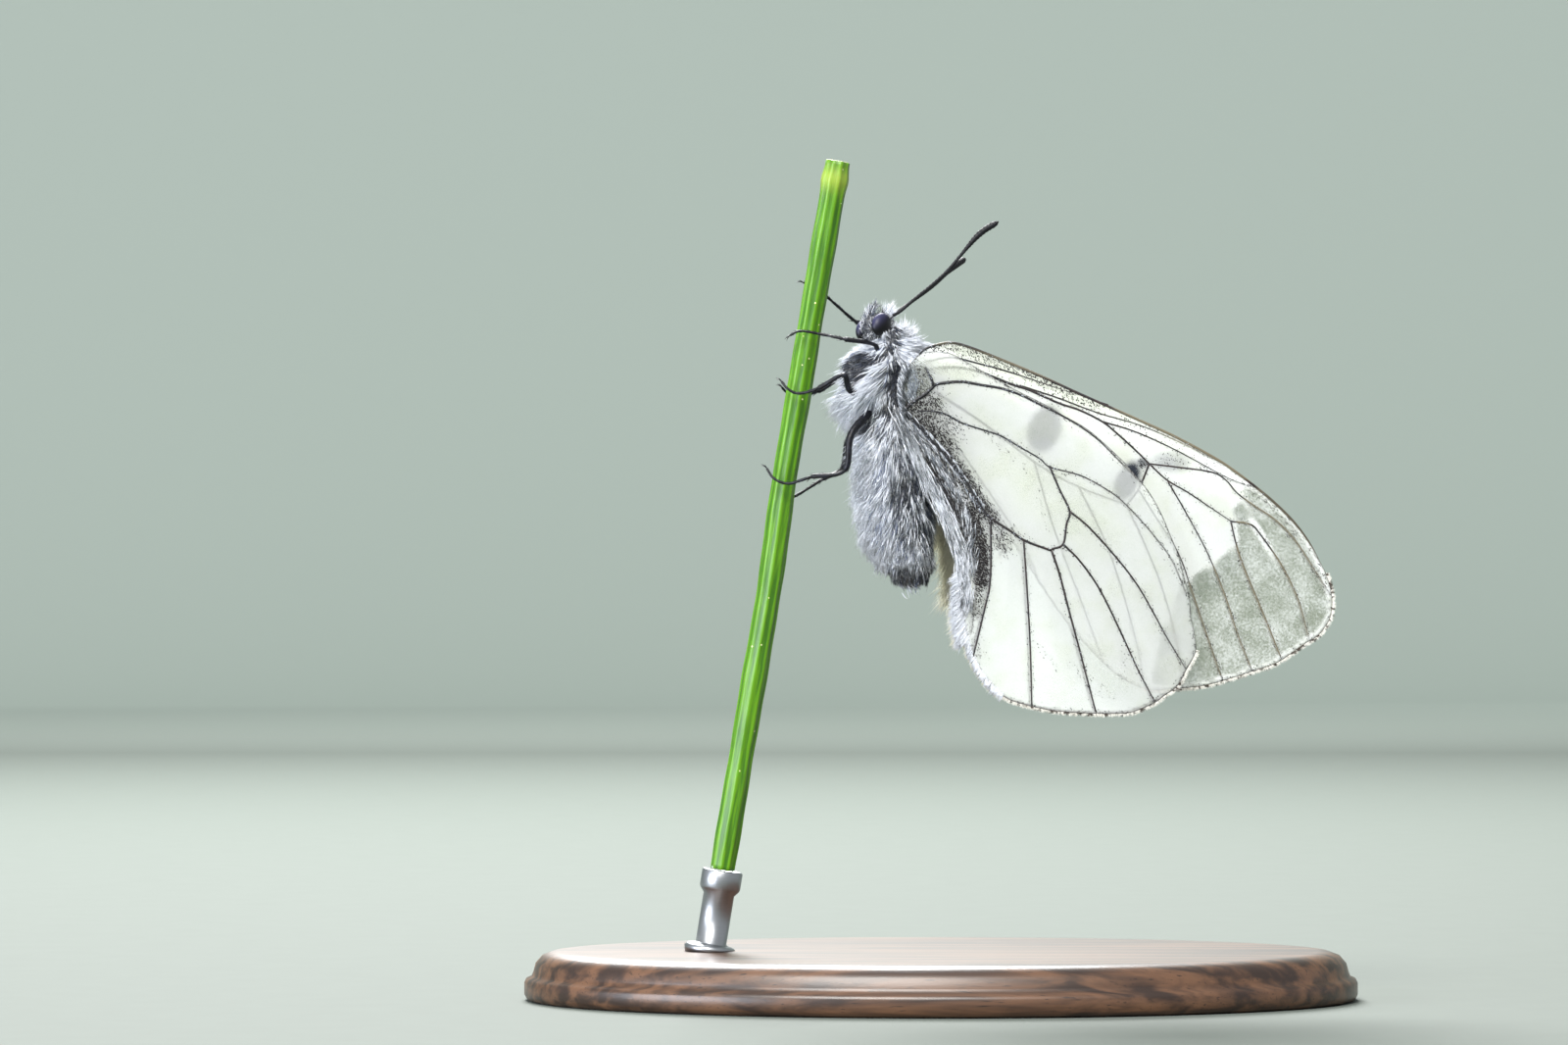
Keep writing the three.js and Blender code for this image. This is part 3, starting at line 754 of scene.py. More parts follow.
@dataclass(frozen=True)
class TurnedWood(Finish):
    """Stained walnut: planed and oiled, fine straight grain with darker pores."""

    light: str = "#5f422e"
    dark: str = "#2a1b13"

    def shader(self, add: Adder) -> Socket:
        """Grain along the base's length.

        Args:
            add: makes a node of the material's tree.

        Returns:
            The shader.
        """
        drawn = add(Kind.DRAWN, add(Kind.PLACE), (14.0, 1.0, 1.0))
        pores = add(Kind.NOISE, drawn, per(0.14), 2.0)
        grain = add(Kind.NOISE, drawn, per(0.9), 6.0, 0.5)
        grain = add(Kind.RISE, grain, 0.35, 0.68)
        shade = add(Kind.MIX, grain, self.dark, self.light)
        holes = add(Kind.RISE, pores, 0.6, 0.75)
        shade = add(Kind.MIX, holes, shade, self.dark)
        bump = add(Kind.BUMP, pores, 0.2, 0.03 * MM)
        oil = {"Coat Weight": 0.2, "Coat Roughness": 0.25}
        return add(Kind.SURFACE, shade, 0.38, 0.5, bump, more=oil)


@dataclass(frozen=True)
class BrushedSteel(Finish):
    """Stainless rod: drawn, then brushed round its length, so that highlights spread."""

    metal: str = "#a9acb0"
    shadow: str = "#6d7176"

    def shader(self, add: Adder) -> Socket:
        """Fine rings of brushing.

        Args:
            add: makes a node of the material's tree.

        Returns:
            The shader.
        """
        drawn = add(Kind.DRAWN, add(Kind.PLACE), (20.0, 20.0, 1.0))
        marks = add(Kind.NOISE, drawn, per(0.05), 3.0)
        worn = add(Kind.TIMES, marks, 0.35)
        shade = add(Kind.MIX, worn, self.metal, self.shadow)
        bump = add(Kind.BUMP, marks, 0.15, 0.01 * MM)
        return add(Kind.SURFACE, shade, 0.36, 0.5, bump, more={"Metallic": 1.0})


@dataclass(frozen=True)
class PaperSweep(Finish):
    """Studio paper: matt, with a faint tooth, graded paler where it rises, as less light falls there."""

    close: str = "#5a615b"
    distant: str = "#b3beb5"

    def shader(self, add: Adder) -> Socket:
        """Matt graded paper.

        Args:
            add: makes a node of the material's tree.

        Returns:
            The shader.
        """
        tooth = add(Kind.NOISE, add(Kind.PLACE), per(3.0), 3.0)
        far = add(Kind.READING, attribute_name="far")
        share = add(Kind.TIMES_PLUS, tooth, 0.03, far, use_clamp=True)
        shade = add(Kind.MIX, share, self.close, self.distant)
        return add(Kind.SURFACE, shade, 0.85)


@dataclass(frozen=True)
class FringeScales(Finish):
    """Margin scales: white, with sooty groups a few tenths of a millimetre long."""

    white: str = "#e6e3da"
    soot: str = "#40352c"
    group: float = 0.3

    def shader(self, add: Adder) -> Socket:
        """White and sooty groups.

        Args:
            add: makes a node of the material's tree.

        Returns:
            The shader.
        """
        lot = add(Kind.NOISE, add(Kind.PLACE), per(self.group), 3.0)
        lot = add(Kind.RISE, lot, 0.5, 0.6)
        shade = add(Kind.MIX, lot, self.white, self.soot)
        return add(Kind.SURFACE, shade, 0.6)


# ---------------------------------------------------------------- bristles by geometry nodes


@dataclass(frozen=True)
class Bristles:
    """Short stiff hairs or scales set over a carrier mesh, one at each point drawn on its faces or vertices.

    The carrier keeps a vector attribute, way, that each bristle leans along.
    """

    name: str
    length: float
    width: float
    flat: float = 1.0
    density: float = 0.0
    lift: float = 0.5
    vary: float = 0.35
    sides: int = 4
    seed: int = 1
    stray: float = 0.18

    def sizes(self) -> dict[str, float]:
        """The node tree's inputs and their values.

        Returns:
            A value for each input.
        """
        return {
            "Length": self.length * MM, "Width": self.width * MM, "Flat": self.flat,
            "Density": self.density / MM**2, "Lift": self.lift, "Vary": self.vary, "Seed": self.seed,
        }

    def tree(self, material: bpy.types.Material) -> bpy.types.NodeTree:
        """The node tree, with named inputs for its sizes.

        Args:
            material: what the bristles are made of.

        Returns:
            The tree.
        """
        tree = bpy.data.node_groups.new(self.name, "GeometryNodeTree")
        add = partial(add_node, tree)
        tree.interface.new_socket("Carrier", in_out="INPUT", socket_type="NodeSocketGeometry")
        for label in self.sizes():
            kind = "NodeSocketInt" if label == "Seed" else "NodeSocketFloat"
            tree.interface.new_socket(label, in_out="INPUT", socket_type=kind)
        tree.interface.new_socket("Bristles", in_out="OUTPUT", socket_type="NodeSocketGeometry")
        given = add("NodeGroupInput").node.outputs
        seed = {"Seed": given["Seed"]}
        way = add("GeometryNodeInputNamedAttribute", more={"Name": "way"}, data_type="FLOAT_VECTOR")
        if self.density:
            over = {"Mesh": given["Carrier"], "Density": given["Density"], **seed}
            points = add("GeometryNodeDistributePointsOnFaces", more=over, distribute_method="RANDOM")
            normal = points.node.outputs["Normal"]
        else:
            points = add("GeometryNodeMeshToPoints", given["Carrier"])
            normal = add("GeometryNodeInputNormal")
        raised = {0: normal, "Scale": given["Lift"]}
        raised = add("ShaderNodeVectorMath", more=raised, operation="SCALE")
        stray = (self.stray,) * 3
        jitter = {0: tuple(-part for part in stray), 1: stray, **seed}
        jitter = add("FunctionNodeRandomValue", more=jitter, data_type="FLOAT_VECTOR")
        lean = add("ShaderNodeVectorMath", way, raised, operation="ADD")
        lean = add("ShaderNodeVectorMath", lean, jitter, operation="ADD")
        turned = add("FunctionNodeAlignRotationToVector", more={"Vector": lean}, axis="Z")
        shape = {"Radius Top": 0.12, "Radius Bottom": 0.5, "Depth": 1.0, "Side Segments": 2}
        bristle = add("GeometryNodeMeshCone", more={"Vertices": self.sides, **shape})
        ends = {2: add(Kind.MINUS, 1.0, given["Vary"]), 3: add(Kind.PLUS, 1.0, given["Vary"])}
        size = add("FunctionNodeRandomValue", more={**ends, **seed}, data_type="FLOAT").node.outputs[1]
        thin = add(Kind.TIMES, given["Width"], given["Flat"])
        long = add(Kind.TIMES, given["Length"], size)
        scale = add("ShaderNodeCombineXYZ", given["Width"], thin, long)
        placed = {"Points": points, "Instance": bristle, "Rotation": turned, "Scale": scale}
        real = add("GeometryNodeRealizeInstances", add("GeometryNodeInstanceOnPoints", more=placed))
        add("NodeGroupOutput", add("GeometryNodeSetMaterial", real, more={"Material": material}))
        return tree

    def grow(self, name: str, carrier: Piece, finish: Finish) -> Piece:
        """Sets the bristles on a carrier and returns them as a plain mesh piece.

        Args:
            name: the new piece's name.
            carrier: the mesh that they stand on.
            finish: the bristles' finish.

        Returns:
            The new piece.
        """
        modifier = carrier.modifiers.new(self.name, "NODES")
        modifier.node_group = self.tree(finish.material())
        sizes = self.sizes()
        for item in modifier.node_group.interface.items_tree:
            if item.in_out == "INPUT" and item.name in sizes:
                modifier[item.identifier] = sizes[item.name]
        mesh = baked(carrier)
        carrier.modifiers.remove(modifier)
        mesh.name = name
        piece = bpy.data.objects.new(name, mesh)
        bpy.context.scene.collection.objects.link(piece)
        return piece


def baked(piece: Piece) -> bpy.types.Mesh:
    """A piece's mesh with its modifiers applied."""
    return bpy.data.meshes.new_from_object(piece.evaluated_get(bpy.context.evaluated_depsgraph_get()))


def drop(piece: Piece) -> None:
    """Removes a helper object that was only a carrier."""
    bpy.data.objects.remove(piece)


def settle(piece: Piece, slot: str, *nodes: str) -> None:
    """Puts a finished piece on the model's one body, in place of these nodes, and reports it.

    Args:
        piece: the finished piece.
        slot: the name of its finish slot; not used.
        nodes: the CAD nodes that it stands for.
    """
    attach(piece, "root")
    if nodes:
        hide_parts(*nodes)
    LOG.info("%s: %d triangles", piece.name, len(piece.data.loops) - 2 * len(piece.data.polygons))


def complete(piece: Piece, finish: Finish, slot: str, *nodes: str) -> None:
    """Turns a closed piece's faces outwards, dresses it and puts it in place of these nodes.

    Args:
        piece: the closed piece.
        finish: what it is made of.
        slot: the name of its finish slot.
        nodes: the CAD nodes that it stands for.
    """
    face_outwards(piece)
    finish.dress(piece)
    settle(piece, slot, *nodes)


# ---------------------------------------------------------------- wings

WING_BASE = np.array([-2.3, 38.0])


@dataclass(frozen=True)
class Rib:
    """A wing vein: its course in the wing's plane and its width at its two ends."""

    course: tuple
    wide: tuple[float, float] = (0.17, 0.11)


@dataclass(frozen=True)
class Patch:
    """A soft oval on a wing: what it does, its middle, half sizes, turn in degrees, strength and softness."""

    kind: str
    middle: tuple[float, float]
    half: tuple[float, float]
    turn: float = 0.0
    strength: float = 1.0
    soft: float = 0.45

    def weight(self, points: Array) -> Array:
        """How strongly the patch shows at each point.

        Args:
            points: places in the wing's plane.

        Returns:
            A strength for each point.
        """
        turn = math.radians(self.turn)
        away = points - np.array(self.middle)
        along = (away[:, 0] * math.cos(turn) + away[:, 1] * math.sin(turn)) / self.half[0]
        across = (away[:, 1] * math.cos(turn) - away[:, 0] * math.sin(turn)) / self.half[1]
        return self.strength * smoothstep(np.hypot(along, across), 1 + self.soft, 1 - self.soft)


@dataclass(frozen=True)
class Dusting:
    """Dark scales strewn beside a line: how many there are on it, and how far they reach to each side."""

    course: tuple
    reach: float
    strength: float


@dataclass(frozen=True)
class GlassZone:
    """Where the scales thin out and the wing turns glassy: all that lies beyond a line."""

    edge: tuple
    beyond: tuple
    soft: float = 0.6


@dataclass
class WingPlan:
    """One kind of wing: its outline, its veins, its markings and where it lies beside the body.

    margin gives the outline's points between which the fringe grows.
    """

    kind: str
    layer: float
    flare: float
    outline: tuple
    ribs: tuple[Rib, ...]
    patches: tuple[Patch, ...]
    dustings: tuple[Dusting, ...]
    glass: GlassZone | None
    margin: tuple[int, int]
    costa: float
    bow: float = 0.45
    bow_reach: float = 29.0
    flare_reach: float = 8.0
    thickness: float = 0.07
    billow: float = 0.1
    billow_reach: float = 1.6
    cell: float = 0.26
    edge_step: float = 0.16
    browning: tuple[float, float] = (3.0, 11.0)
    covered: float = 0.72

    def lift(self, points: Array) -> Array:
        """How far the wing stands off the middle plane at each point.

        Args:
            points: places in the wing's plane.

        Returns:
            A distance for each point.
        """
        reach = lengths(points - WING_BASE)
        flare = self.flare * (1 - smoothstep(reach, 0, self.flare_reach))
        bow = self.bow * np.sin(np.pi * np.clip(reach / self.bow_reach, 0, 1)) ** 2
        return self.layer + flare + bow

    def rim(self) -> Array:
        """The outline, in even steps."""
        return resample(spline(self.outline, 8, closed=True), self.edge_step, closed=True)

    def courses(self) -> list[Array]:
        """Each vein's course as a smooth line."""
        return [resample(spline(rib.course, 8), 0.2) for rib in self.ribs]


FOREWING = WingPlan(
    kind="forewing",
    layer=0.6,
    flare=0.4,
    outline=(
        (-1.8, 38.5), (-1.6, 39.1), (-1.1, 39.7), (-0.5, 40.0), (0.6, 40.2), (1.8, 39.9), (3.6, 39.2),
        (6.0, 38.2), (8.4, 37.1), (12.0, 35.5), (14.4, 34.4), (16.8, 33.1), (18.0, 32.3), (19.2, 31.4),
        (20.4, 30.4), (21.6, 29.2), (22.5, 28.0), (23.1, 26.9), (23.5, 26.1), (23.8, 25.2), (23.9, 24.3),
        (23.8, 23.5), (23.5, 22.9), (23.0, 22.3), (22.2, 21.8), (21.5, 21.3), (20.4, 20.6), (19.2, 20.2),
        (18.0, 19.8), (16.2, 19.3), (14.4, 19.1), (12.3, 19.1), (10.2, 20.4), (7.5, 23.4), (5.1, 27.0),
        (2.7, 30.6), (0.3, 34.2), (-1.7, 37.2),
    ),
    ribs=(
        Rib(((-1.5, 38.9), (-0.6, 39.1), (0.6, 39.3), (2.4, 38.9), (4.2, 38.4), (7.2, 37.4), (10.2, 36.4)),
            (0.2, 0.1)),
        Rib(
            ((-1.7, 38.4), (-0.6, 38.6), (0.9, 38.7), (2.4, 38.4), (4.2, 37.7), (5.4, 37.3), (7.2, 36.5),
             (8.4, 36.1), (9.8, 35.4), (10.8, 34.6), (12.0, 33.5), (12.7, 32.8)),
            (0.26, 0.17),
        ),
        Rib(((4.8, 37.6), (6.0, 37.2), (7.2, 36.8), (9.6, 35.9), (12.0, 35.2), (14.4, 34.2), (17.4, 32.7))),
        Rib(((9.8, 35.4), (12.0, 34.7), (14.4, 33.6), (17.4, 32.0), (18.9, 31.4))),
        Rib(
            ((12.7, 32.8), (14.4, 32.6), (16.5, 32.3), (17.4, 31.8), (18.1, 31.0), (19.2, 30.2), (20.4, 29.4),
             (21.6, 28.2), (22.8, 26.4), (23.8, 24.8)),
        ),
        Rib(((12.7, 32.8), (13.8, 31.8), (15.0, 31.1), (16.2, 30.3), (17.4, 29.5), (17.7, 29.3)),
            (0.17, 0.13)),
        Rib(((17.7, 29.3), (18.9, 29.1), (19.5, 28.5), (20.7, 26.8), (21.5, 25.3), (22.0, 24.0),
             (22.5, 22.1))),
        Rib(((17.7, 29.3), (18.0, 28.0), (18.5, 26.5), (19.8, 23.4), (20.8, 20.9)), (0.16, 0.13)),
        Rib(((13.8, 31.8), (14.9, 29.9), (16.2, 27.5), (17.3, 24.9), (18.1, 22.5), (19.0, 20.2)),
            (0.15, 0.12)),
        Rib(((12.7, 32.8), (12.3, 31.8), (11.9, 31.0), (11.3, 30.3)), (0.2, 0.15)),
        Rib(((12.0, 31.3), (13.2, 29.4), (14.5, 27.3), (15.3, 25.1), (16.5, 21.6), (17.2, 19.6)),
            (0.15, 0.12)),
        Rib(((11.3, 30.3), (12.3, 28.2), (13.5, 25.2), (14.4, 21.9), (14.8, 19.1))),
        Rib(((-1.8, 38.1), (2.4, 35.4), (6.0, 32.7), (8.4, 31.4), (11.3, 30.3)), (0.24, 0.14)),
        Rib(((8.4, 31.4), (10.2, 27.6), (11.7, 22.8), (12.5, 19.1))),
        Rib(((5.7, 32.9), (6.9, 28.8), (8.7, 24.0), (9.9, 20.7))),
        Rib(((-1.8, 37.8), (1.2, 33.6), (4.8, 28.2), (6.1, 25.4)), (0.2, 0.1)),
    ),
    patches=(
        Patch("cloud", (6.3, 34.9), (0.95, 1.35), -18, 1.5, 0.3),
        Patch("cloud", (11.35, 31.75), (0.62, 1.15), -25, 1.7, 0.35),
        Patch("cloud", (12.3, 32.85), (0.32, 0.3), 0, 1.0, 0.4),
        Patch("dusk", (12.35, 32.75), (0.3, 0.25), -30, 0.75, 0.4),
        Patch("dusk", (14.1, 32.9), (1.0, 0.45), -8, 0.3, 0.5),
        Patch("cloud", (14.1, 32.95), (1.1, 0.6), -8, 0.45, 0.5),
        Patch("warm", (6.0, 38.1), (8.0, 0.8), -22, 1.0, 0.5),
        Patch("glass", (4.5, 38.5), (7.0, 0.6), -20, 0.45, 0.5),
        Patch("glass", (15.8, 33.8), (9.0, 0.5), -28, 0.75, 0.5),
        Patch("pale", (19.4, 28.7), (0.3, 2.1), 28, 0.45, 0.6),
        Patch("pale", (17.6, 30.9), (1.2, 0.5), -25, 0.3, 0.6),
    ),
    dustings=(
        Dusting(((-1.2, 39.6), (0.6, 39.9), (3.6, 38.9), (9.4, 36.3)), 0.5, 0.5),
        Dusting(((-1.7, 38.3), (0.9, 38.6), (4.2, 37.7)), 0.5, 0.3),
        Dusting(((-0.5, 40.0), (0.6, 40.2), (1.8, 39.9), (4.8, 38.7), (8.0, 37.3)), 0.3, 0.8),
        Dusting(((18.0, 32.0), (20.4, 30.1), (22.5, 27.7), (23.6, 25.0)), 0.3, 0.35),
    ),
    glass=GlassZone(
        edge=((19.4, 32.5), (18.3, 31.3), (17.9, 30.0), (18.0, 28.0), (16.8, 26.8), (15.3, 25.9),
              (14.5, 25.0), (13.4, 22.0), (12.6, 18.0)),
        beyond=((26.0, 18.0), (26.0, 34.0)),
    ),
    margin=(18, 31),
    costa=0.15,
)

HINDWING = WingPlan(
    kind="hindwing",
    layer=1.55,
    flare=0.4,
    outline=(
        (-2.6, 37.2), (-2.1, 38.5), (-1.6, 39.2), (-0.9, 39.6), (0.5, 39.5), (1.5, 39.0), (2.7, 38.3),
        (4.5, 37.3), (6.1, 36.5), (7.3, 35.8), (9.0, 34.8), (11.0, 33.0), (11.7, 32.2), (12.6, 31.1),
        (13.3, 29.9), (13.9, 28.5), (14.4, 27.3), (14.8, 25.8), (15.1, 24.6), (15.2, 23.4), (15.4, 22.5),
        (15.5, 21.5), (15.3, 20.9), (14.9, 20.2), (14.6, 19.6), (14.2, 19.1), (13.6, 18.7), (13.1, 18.3),
        (12.0, 17.8), (11.1, 17.6), (9.0, 17.6), (6.6, 17.8), (4.5, 18.3), (3.7, 18.7), (3.2, 19.1),
        (2.3, 20.2), (1.7, 21.6), (1.4, 22.8), (1.3, 23.7), (1.4, 26.0), (1.4, 27.2), (1.1, 28.5),
        (0.6, 29.6), (-0.3, 31.2), (-1.8, 34.2), (-2.5, 35.7),
    ),
    ribs=(
        Rib(((-2.5, 35.8), (-1.8, 36.5), (-1.2, 36.9), (-0.8, 37.2), (-0.4, 37.6)), (0.34, 0.26)),
        Rib(((-0.5, 37.5), (-0.6, 37.9), (-0.8, 38.3), (-1.0, 38.7)), (0.26, 0.14)),
        Rib(
            ((-0.4, 37.6), (0.0, 37.7), (1.2, 37.8), (2.4, 37.6), (3.6, 37.4), (4.8, 37.0), (6.0, 36.4),
             (7.2, 35.8), (8.4, 35.1), (9.6, 34.2), (10.8, 33.0), (12.0, 31.8)),
            (0.26, 0.1),
        ),
        Rib(
            ((-1.5, 36.0), (-0.6, 36.0), (0.3, 35.8), (1.2, 35.3), (2.4, 34.9), (3.6, 34.5), (4.8, 33.8),
             (6.0, 33.1), (6.6, 32.6), (8.4, 32.1), (9.6, 31.5), (10.8, 30.7), (12.0, 29.5), (13.2, 28.1),
             (14.1, 26.8), (14.9, 24.9)),
            (0.17, 0.1),
        ),
        Rib(((6.6, 32.6), (6.9, 31.9), (7.2, 31.2), (7.8, 29.9), (7.6, 29.1), (7.4, 27.9), (6.7, 27.6)),
            (0.17, 0.2)),
        Rib(((7.8, 29.9), (9.0, 28.9), (10.8, 26.9), (12.0, 25.3), (13.2, 23.2), (13.8, 22.1), (14.9, 20.3)),
            (0.18, 0.12)),
        Rib(((7.4, 27.9), (8.4, 26.9), (9.6, 25.2), (10.8, 22.8), (12.0, 20.2), (13.0, 18.3)), (0.18, 0.13)),
        Rib(((6.7, 27.5), (7.2, 26.0), (7.8, 23.7), (8.4, 21.5), (9.0, 19.2), (9.4, 17.7)), (0.2, 0.14)),
        Rib(
            ((-2.4, 36.0), (-1.8, 35.5), (-1.2, 34.9), (-0.6, 34.2), (0.0, 33.6), (0.6, 32.8), (1.2, 32.1),
             (1.8, 31.2), (2.4, 30.2), (3.0, 29.5), (4.2, 28.7), (5.1, 28.1), (6.7, 27.5)),
            (0.3, 0.2),
        ),
        Rib(((5.0, 28.1), (5.2, 25.2), (5.4, 21.6), (5.5, 18.1)), (0.17, 0.14)),
        Rib(((3.0, 29.5), (3.0, 26.7), (2.9, 25.2), (2.7, 24.3), (2.2, 22.2), (1.9, 21.0)), (0.2, 0.16)),
        Rib(((-2.5, 35.5), (-1.0, 32.9), (0.6, 30.4), (1.8, 27.8), (2.1, 25.0), (1.8, 22.5)), (0.2, 0.08)),
    ),
    patches=(
        Patch("dusk", (3.7, 28.2), (0.6, 1.0), 15, 0.6, 0.6),
        Patch("dusk", (0.1, 35.2), (1.4, 0.8), -30, 0.5, 0.6),
        Patch("dusk", (-1.3, 36.2), (1.5, 1.2), 0, 0.75, 0.5),
        Patch("dusk", (-1.5, 37.9), (0.95, 1.0), 0, 0.4, 0.3),
        Patch("cloud", (-1.5, 37.9), (0.95, 1.0), 0, 0.5, 0.3),
        Patch("warm", (0.6, 38.6), (2.4, 0.5), -12, 0.8, 0.5),
        Patch("warm", (-1.5, 37.9), (1.0, 1.0), 0, 1.0, 0.3),
        Patch("warm", (6.5, 31.0), (4.5, 1.6), -40, 0.6, 0.6),
        Patch("dusk", (2.0, 21.4), (0.6, 0.9), 10, 0.25, 0.6),
        Patch("glass", (9.0, 19.4), (6.5, 2.4), 10, 0.32, 0.6),
    ),
    dustings=(
        Dusting(((-2.4, 36.0), (-1.2, 34.9), (0.0, 33.6)), 1.6, 0.85),
        Dusting(((0.0, 33.6), (1.2, 32.1), (2.4, 30.2), (3.0, 29.5)), 0.85, 0.9),
        Dusting(((-1.8, 34.6), (-0.4, 32.4), (0.8, 30.0), (1.6, 27.3)), 1.2, 1.0),
        Dusting(((1.7, 29.9), (2.3, 28.3), (2.45, 27.0), (2.45, 25.6)), 0.75, 1.0),
        Dusting(((2.45, 25.6), (2.2, 24.4), (2.1, 23.6)), 0.6, 0.6),
        Dusting(((3.0, 29.5), (4.2, 28.7), (5.1, 28.1)), 0.5, 0.35),
        Dusting(((2.9, 34.4), (4.2, 33.4), (5.1, 32.5), (5.7, 31.8), (6.0, 30.6), (6.2, 29.7), (6.5, 28.5)),
                0.13, 0.3),
        Dusting(((5.5, 22.2), (7.2, 20.3)), 0.3, 0.15),
        Dusting(((11.2, 21.6), (11.0, 19.7)), 0.35, 0.2),
        Dusting(((8.0, 20.6), (10.2, 18.6)), 0.5, 0.12),
    ),
    glass=None,
    margin=(21, 41),
    costa=0.02,
    browning=(7.0, 15.0),
    covered=0.32,
)


@dataclass
class Wing:
    """One wing: its membrane, veins, fringe and, on a hindwing, the long hairs of its inner margin."""

    plan: WingPlan
    side: Side
    fringe_length: float = 0.2
    fringe_width: float = 0.042
    fringe_step: float = 0.04
    fringe_rows: tuple[float, ...] = (-0.03, 0.0, 0.03)
    fringe_out: float = 0.02
    fringe_stray: tuple[float, float] = (0.22, 0.12)
    vein_sides: int = 8

    @property
    def name(self) -> str:
        """The CAD node that the wing stands for."""
        return f"{self.plan.kind}_{self.side.word}"

    def place(self, points: Array, off: Array | float = 0.0) -> Array:
        """Points of the wing's plane set in space, off to its outer side."""
        lift = self.plan.lift(points) + self.relief(points) + off
        return np.stack([points[:, 0], self.side.value * lift, points[:, 1]], axis=1)

    def relief(self, points: Array) -> Array:
        """How far the membrane billows between its veins."""
        near = distance_to_lines(points, self.plan.courses())
        return self.plan.billow * smoothstep(near, 0.0, self.plan.billow_reach)

    def marks(self, points: Array) -> dict[str, Array]:
        """How glassy, cloudy and dusted the wing is at each point.

        Args:
            points: places in the wing's plane.

        Returns:
            Shares from zero to one for each mark.
        """
        plan = self.plan
        rim_far = distance_to_lines(points, [looped(plan.rim())])
        marks = {key: np.zeros(len(points)) for key in ("glass", "cloud", "dusk", "warm", "pale")}
        if plan.glass is not None:
            border = spline(plan.glass.edge, 8)
            region = np.vstack([border, plan.glass.beyond])
            far = distance_to_lines(points, [border]) * np.where(inside(points, region), 1, -1)
            marks["glass"] = smoothstep(far, -plan.glass.soft, plan.glass.soft)
            marks["glass"] *= 1 - 0.6 * smoothstep(rim_far, 0.45, 0.15)
        for patch in plan.patches:
            marks[patch.kind] = np.maximum(marks[patch.kind], patch.weight(points))
        for dusting in plan.dustings:
            near = distance_to_lines(points, [spline(dusting.course, 6)])
            strewn = dusting.strength * smoothstep(near, dusting.reach, 0.3 * dusting.reach)
            marks["dusk"] = np.maximum(marks["dusk"], strewn)
        veins = distance_to_lines(points, plan.courses())
        marks["glass"] *= 1 - 0.35 * smoothstep(veins, 0.55, 0.1)
        by_veins = 0.32 * smoothstep(veins, 0.24, 0.06)
        by_rim = 0.5 * smoothstep(rim_far, 0.22, 0.0) * (1 - marks["glass"])
        marks["dusk"] = np.maximum.reduce([marks["dusk"], by_veins, by_rim])
        marks["glass"] = np.clip(marks["glass"] - marks.pop("pale"), 0, 1)
        return marks

    def membrane(self) -> Piece:
        """The thin sheet between the veins, closed at its rim.

        Returns:
            The new piece.
        """
        plan = self.plan
        rim = plan.rim()
        low, high = rim.min(axis=0), rim.max(axis=0)
        step = plan.cell
        xs, zs = np.arange(low[0], high[0], step), np.arange(low[1], high[1], step * 0.866)
        grid = np.array([(x + step * 0.5 * (j % 2), z) for j, z in enumerate(zs) for x in xs])
        grid = grid[inside(grid, rim)]
        grid = grid[distance_to_lines(grid, [looped(rim)]) > 0.55 * plan.edge_step]
        flat = np.vstack([rim, grid])
        made = geometry.delaunay_2d_cdt(flat.tolist(), [], [list(range(len(rim)))], 1, 1e-5)
        flat = np.array([tuple(v) for v in made[0]])
        count = len(flat)
        half = plan.thickness / 2
        points = np.vstack([self.place(flat, half), self.place(flat, -half)])
        faces = [list(f) for f in made[2]]
        edges = [(a, b) for face in faces for a, b in zip(face, face[1:] + face[:1])]
        twin = {(b, a) for a, b in edges}
        wall = [[b, a, a + count, b + count] for a, b in edges if (a, b) not in twin]
        both = faces + [[i + count for i in reversed(face)] for face in faces] + wall
        marks = {key: np.tile(value, 2) for key, value in self.marks(flat).items()}
        return make_piece(f"{self.name}_membrane", points, both, marks)

    def veins(self) -> Piece:
        """The veins, as tubes that stand proud of both faces and taper to the margin.

        Returns:
            The new piece.
        """
        parts = []
        up = np.array([0.0, 1.0, 0.0])
        for rib, course in zip(self.plan.ribs, self.plan.courses()):
            line = self.place(course)
            share = np.linspace(0, 1, len(line))
            radii = 0.4 * np.interp(share, [0, 1], rib.wide)
            parts.append(tube(line, radii, self.vein_sides, up, 0.85))
        rim = self.plan.rim()
        line = self.place(looped(rim))
        costa = self.costa_width(rim)
        parts.append(tube(line, 0.5 * np.append(costa, costa[0]), self.vein_sides, up, 0.9))
        points, faces = joined(parts)
        far = smoothstep(lengths(points[:, ::2] - WING_BASE), *self.plan.browning)
        glass = smoothstep(self.marks(points[:, ::2])["glass"], 0.3, 0.5)
        return make_piece(f"{self.name}_veins", points, faces, {"far": far, "glass": glass})

    def costa_width(self, rim: Array) -> Array:
        """The width of the thickened edge: widest on the leading side, fine on the rest.

        Args:
            rim: the outline's fine steps.

        Returns:
            A width for each step.
        """
        start, stop = (self.nearest(rim, i) for i in self.plan.margin)
        number = np.arange(len(rim))
        lead = smoothstep(number, 0, 12) * smoothstep(number, start + 6, start - 30)
        outer = smoothstep(number, start - 4, start + 4) * smoothstep(number, stop + 2, stop - 6)
        return 0.02 + self.plan.costa * lead + 0.06 * outer

    def nearest(self, rim: Array, number: int) -> int:
        """The rim step nearest to one of the outline's points."""
        return int(np.argmin(lengths(rim - self.plan.outline[number])))

